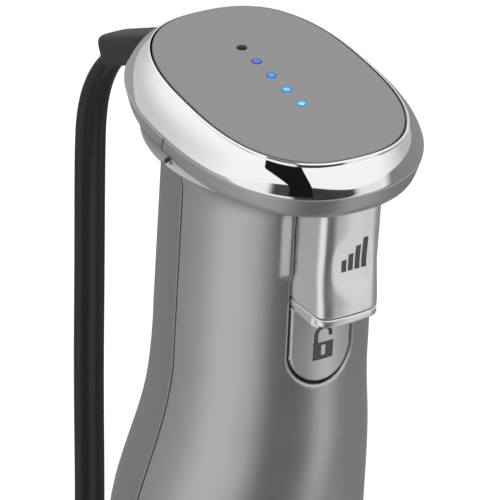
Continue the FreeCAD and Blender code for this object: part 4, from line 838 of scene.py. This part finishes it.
def make_cord(boot):
    """Flat two-core cord: a figure-of-eight section carried along the route, its width kept level."""
    line = smooth_line(CORD_POINTS + coil_points() + LEAD_POINTS)
    along = np.gradient(line, axis=0)
    along /= np.linalg.norm(along, axis=1)[:, None]
    lying = smooth(((0.045 - line[:, 2]) / 0.03))[:, None]
    twist = np.radians(-32.0) * smooth((TOP * MM - 0.03 - line[:, 2]) / 0.05)[:, None]
    facing = np.concatenate([np.cos(twist), np.sin(twist), np.zeros_like(twist)], axis=1)
    wide = facing * (1 - lying) + np.array([0, 0, 1.0]) * lying
    wide -= along * np.sum(wide * along, axis=1)[:, None]
    wide /= np.linalg.norm(wide, axis=1)[:, None]
    thick = np.cross(along, wide)
    turns = np.linspace(0, 2 * np.pi, 36, endpoint=False)
    waist = 1 - 0.42 * np.exp(-((np.cos(turns) / 0.34) ** 2))
    across = CORD_WIDTH / 2 * np.cos(turns) * MM
    through = CORD_THICKNESS / 2 * np.sin(turns) * waist * MM
    points = line[:, None, :] + wide[:, None, :] * across[None, :, None] + thick[:, None, :] * through[None,
                                                                                                       :, None]
    cord = build_mesh("cord_flex", points / MM, quads(len(line), 36, wrap=True), sheath)
    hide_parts("power_cord", "cord_coil", "plug_lead")
    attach(cord, "motor_body")


BOOT_SLOPE, BOOT_START = math.radians(28.0), (0.0, 38.0, TOP - 9.7)
BOOT_HALF_WIDE, BOOT_HALF_HIGH, BOOT_POWER = 5.1, 4.1, 5.0
BOOT_FIRST, BOOT_STRAIGHT, BOOT_ROUND = 5.5, 41.0, 2.6


def make_boot():
    """Strain relief: a rounded bar on a sloping axis that ends in a quarter round."""
    along = np.array([0, math.cos(BOOT_SLOPE), -math.sin(BOOT_SLOPE)])
    upward = np.array([0, math.sin(BOOT_SLOPE), math.cos(BOOT_SLOPE)])
    start = np.array(BOOT_START)
    turns = np.linspace(0, 2 * np.pi, 64, endpoint=False)
    across, high = oblong(turns, BOOT_HALF_WIDE, BOOT_HALF_HIGH, BOOT_POWER)
    rows = []
    stops = [(reach, 0.0) for reach in np.linspace(BOOT_FIRST, BOOT_STRAIGHT, 40)]
    stops += [(BOOT_STRAIGHT + BOOT_ROUND * math.sin(turn), BOOT_ROUND * (1 - math.cos(turn)))
              for turn in np.linspace(0.15, np.pi / 2, 9)]
    stops += [(BOOT_STRAIGHT + BOOT_ROUND, 3.2), (BOOT_STRAIGHT + BOOT_ROUND, BOOT_HALF_HIGH - 0.001)]
    for reach, inset in stops:
        share = np.array([1 - inset / BOOT_HALF_WIDE, 1 - inset / BOOT_HALF_HIGH])
        centre = start + along * reach
        rows.append(centre + across[:, None] * share[0] * np.array([1.0, 0, 0])
                    + (high * share[1])[:, None] * upward)
    boot = build_mesh("boot_skin", np.array(rows)[:, ::-1], quads(len(rows), 64, wrap=True), boot_rubber)
    thicken(boot, 0.8)
    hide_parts("cord_boot")
    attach(boot, "motor_body")
    return boot


# ------------------------------------------------------------------ studio
def area_light(name, place, target, size, power):
    """A square soft lamp that faces a target."""
    lamp = bpy.data.lights.new(name, "AREA")
    lamp.shape = "SQUARE"
    lamp.size = size
    lamp.energy = power
    holder = bpy.data.objects.new(name, lamp)
    holder.location = place
    holder.rotation_mode = "QUATERNION"
    holder.rotation_quaternion = (Vector(target) - Vector(place)).to_track_quat("-Z", "Y")
    bpy.context.scene.collection.objects.link(holder)
    return holder


def reflection_card(name, points, tones):
    """A studio card that only glossy reflections see; its glow is graded by a tone at each grid point."""
    rows, columns = tones.shape
    mesh = bpy.data.meshes.new(name)
    mesh.from_pydata(points.reshape(-1, 3).tolist(), [], quads(rows, columns).tolist())
    layer = mesh.attributes.new("tone", "FLOAT", "POINT")
    layer.data.foreach_set("value", tones.astype(np.float32).ravel())
    material = bpy.data.materials.new(name + "_glow")
    material.use_nodes = True
    nodes, links = material.node_tree.nodes, material.node_tree.links
    nodes.remove(nodes["Principled BSDF"])
    reading = nodes.new("ShaderNodeAttribute")
    reading.attribute_name = "tone"
    glow = nodes.new("ShaderNodeEmission")
    links.new(reading.outputs["Fac"], glow.inputs["Color"])
    links.new(glow.outputs["Emission"], nodes["Material Output"].inputs["Surface"])
    mesh.materials.append(material)
    holder = bpy.data.objects.new(name, mesh)
    for kind in ("camera", "diffuse", "shadow", "transmission"):
        setattr(holder, "visible_" + kind, False)
    bpy.context.scene.collection.objects.link(holder)


def wall_card(name, bearings, reach, heights, tones):
    """An upright curved card at one distance from the axis; tones run over (height, bearing)."""
    bearing, height = np.meshgrid(np.radians(VIEW_BEARING + bearings), heights)
    reflection_card(name, np.stack([reach * np.cos(bearing), reach * np.sin(bearing), height], axis=-1),
                    tones)


def floor_card(name, bearings, reaches, tones):
    """A sector of floor between bearings from the viewer and distances from the axis."""
    bearing, reach = np.meshgrid(np.radians(VIEW_BEARING + bearings), reaches)
    reflection_card(name,
                    np.stack([reach * np.cos(bearing), reach * np.sin(bearing), 0.001 + 0 * reach],
                             axis=-1), tones)


VIEW_BEARING = 238.0
SKY_TONE = 1.0
# Tones low in the studio at bearings from the viewer, in degrees to the right.
HORIZON_BEARINGS = [-180, -110, -70, 70, 110, 180]
HORIZON_TONES = [0.55, 0.6, 0.95, 0.95, 0.5, 0.55]
# Floor tones at bearings from the viewer, far and near.
FLOOR_BEARINGS = [-180, -100, -72, -66, -40, -16, -10, 20, 50, 56, 74, 82, 180]
FLOOR_TONES = [0.35, 0.33, 0.45, 0.88, 0.92, 0.88, 0.06, 0.04, 0.06, 0.8, 0.85, 0.22, 0.28]
FAR_SHIFT = -22.0
HORIZON_REACH, PANEL_REACH = 3.5, 1.35
FLOOR_REACHES, NEAR_REACHES = np.array([0.32, 0.75, 1.3, 3.49]), np.array([0.03, 0.31])
NEAR_TONES = [0.28, 0.30, 0.40, 0.50, 0.40, 0.20, 0.05, 0.04, 0.06, 0.6, 0.6, 0.22, 0.28]
# The black panel's edges, as bearings at heights.
PANEL_HEIGHTS = [0.22, 0.6, 1.02]
PANEL_LEFT, PANEL_RIGHT = [-16, -46, -54], [9, -1, -14]


def studio():
    """Pale floor, soft even light, and dark cards that give the metal its bands."""
    mesh = bpy.data.meshes.new("floor")
    reach = 6.0
    mesh.from_pydata([(-reach, -reach, 0), (reach, -reach, 0), (reach, reach, 0), (-reach, reach, 0)], [],
                     [(0, 1, 2, 3)])
    mesh.materials.append(finish("pale_floor", (0.93, 0.93, 0.93), 0.8, mottle=0.01, bump=0.0))
    floor = bpy.data.objects.new("floor", mesh)
    bpy.context.scene.collection.objects.link(floor)
    world = bpy.data.worlds.new("studio")
    world.use_nodes = True
    world.node_tree.nodes["Background"].inputs["Color"].default_value = (1.0, 1.0, 1.0, 1.0)
    world.node_tree.nodes["Background"].inputs["Strength"].default_value = 0.92
    bpy.context.scene.world = world
    bpy.context.scene.view_settings.view_transform = "Standard"
    for lamp in (area_light("key", (-1.1, -0.9, 1.5), (0, 0, 0.3), 0.9, 9.0),
                 area_light("top", (0.2, 0.3, 1.8), (0, 0, 0.3), 1.2, 8.0)):
        lamp.visible_glossy = False
    bearings = np.linspace(-180, 180, 145)
    heights = np.linspace(0.0, 6.0, 61)
    climb = smooth((heights[:, None] - 0.35) / 1.7)
    low_tones = np.interp(bearings, HORIZON_BEARINGS, HORIZON_TONES)
    wall_card("horizon", bearings, HORIZON_REACH, heights, low_tones + (SKY_TONE - low_tones) * climb)
    floor_tones = np.interp(bearings, FLOOR_BEARINGS, FLOOR_TONES)
    far_tones = np.interp(bearings, np.add(FLOOR_BEARINGS, [0, 0, 0, 0] + [FAR_SHIFT] * 3 + [0] * 6),
                          FLOOR_TONES)
    floor_card("floor_bands", bearings, FLOOR_REACHES,
               np.stack([floor_tones, floor_tones, far_tones, far_tones]))
    near_tones = np.interp(bearings, FLOOR_BEARINGS, NEAR_TONES)
    floor_card("floor_near", bearings, NEAR_REACHES, np.stack([near_tones, near_tones]))
    heights = np.linspace(0.05, 1.5, 30)[:, None]
    left = np.interp(heights, PANEL_HEIGHTS, PANEL_LEFT)
    right = np.interp(heights, PANEL_HEIGHTS, PANEL_RIGHT)
    bearing = np.radians(VIEW_BEARING + left + (right - left) * np.linspace(0, 1, 8))
    points = np.stack([PANEL_REACH * np.cos(bearing), PANEL_REACH * np.sin(bearing),
                       heights + 0 * bearing], axis=-1)
    reflection_card("black_panel", points, np.full(bearing.shape, 0.008))


# Where the camera stands, in degrees and metres, and how far its aim passes the cap's middle, as slopes.
CAMERA_TURN, CAMERA_RISE, CAMERA_ROLL = (math.radians(angle) for angle in (-32.0, 29.5, 3.04))
CAMERA_DISTANCE, LENS_LENGTH = 1.2, 371.52
AIM_RIGHT, AIM_UP = 0.00531, 0.033062


def camera():
    """A long lens from the front left, above the cap; the body leans a little in the frame."""
    target = Vector((0, 0, TOP * MM))
    back = Vector((math.sin(CAMERA_TURN) * math.cos(CAMERA_RISE),
                   -math.cos(CAMERA_TURN) * math.cos(CAMERA_RISE),
                   math.sin(CAMERA_RISE)))
    level = Vector((math.cos(CAMERA_TURN), math.sin(CAMERA_TURN), 0))
    upright = back.cross(level)
    right = level * math.cos(CAMERA_ROLL) + upright * math.sin(CAMERA_ROLL)
    up = upright * math.cos(CAMERA_ROLL) - level * math.sin(CAMERA_ROLL)
    look = (-back - right * AIM_RIGHT - up * AIM_UP).normalized()
    side = (right - look * right.dot(look)).normalized()
    lens = bpy.data.cameras.new("camera")
    lens.lens = LENS_LENGTH
    lens.clip_start, lens.clip_end = 0.05, 50.0
    holder = bpy.data.objects.new("camera", lens)
    rotation = Matrix((side, side.cross(look), -look)).transposed()
    holder.matrix_world = Matrix.Translation(target + back * CAMERA_DISTANCE) @ rotation.to_4x4()
    bpy.context.scene.collection.objects.link(holder)
    bpy.context.scene.camera = holder


dress_nodes()
camera()
studio()
make_cord(make_boot())
make_ring()
make_plate()
make_lights()
make_shells()
make_trigger()
make_lock()
make_gap_shade_sheet()
make_icons()
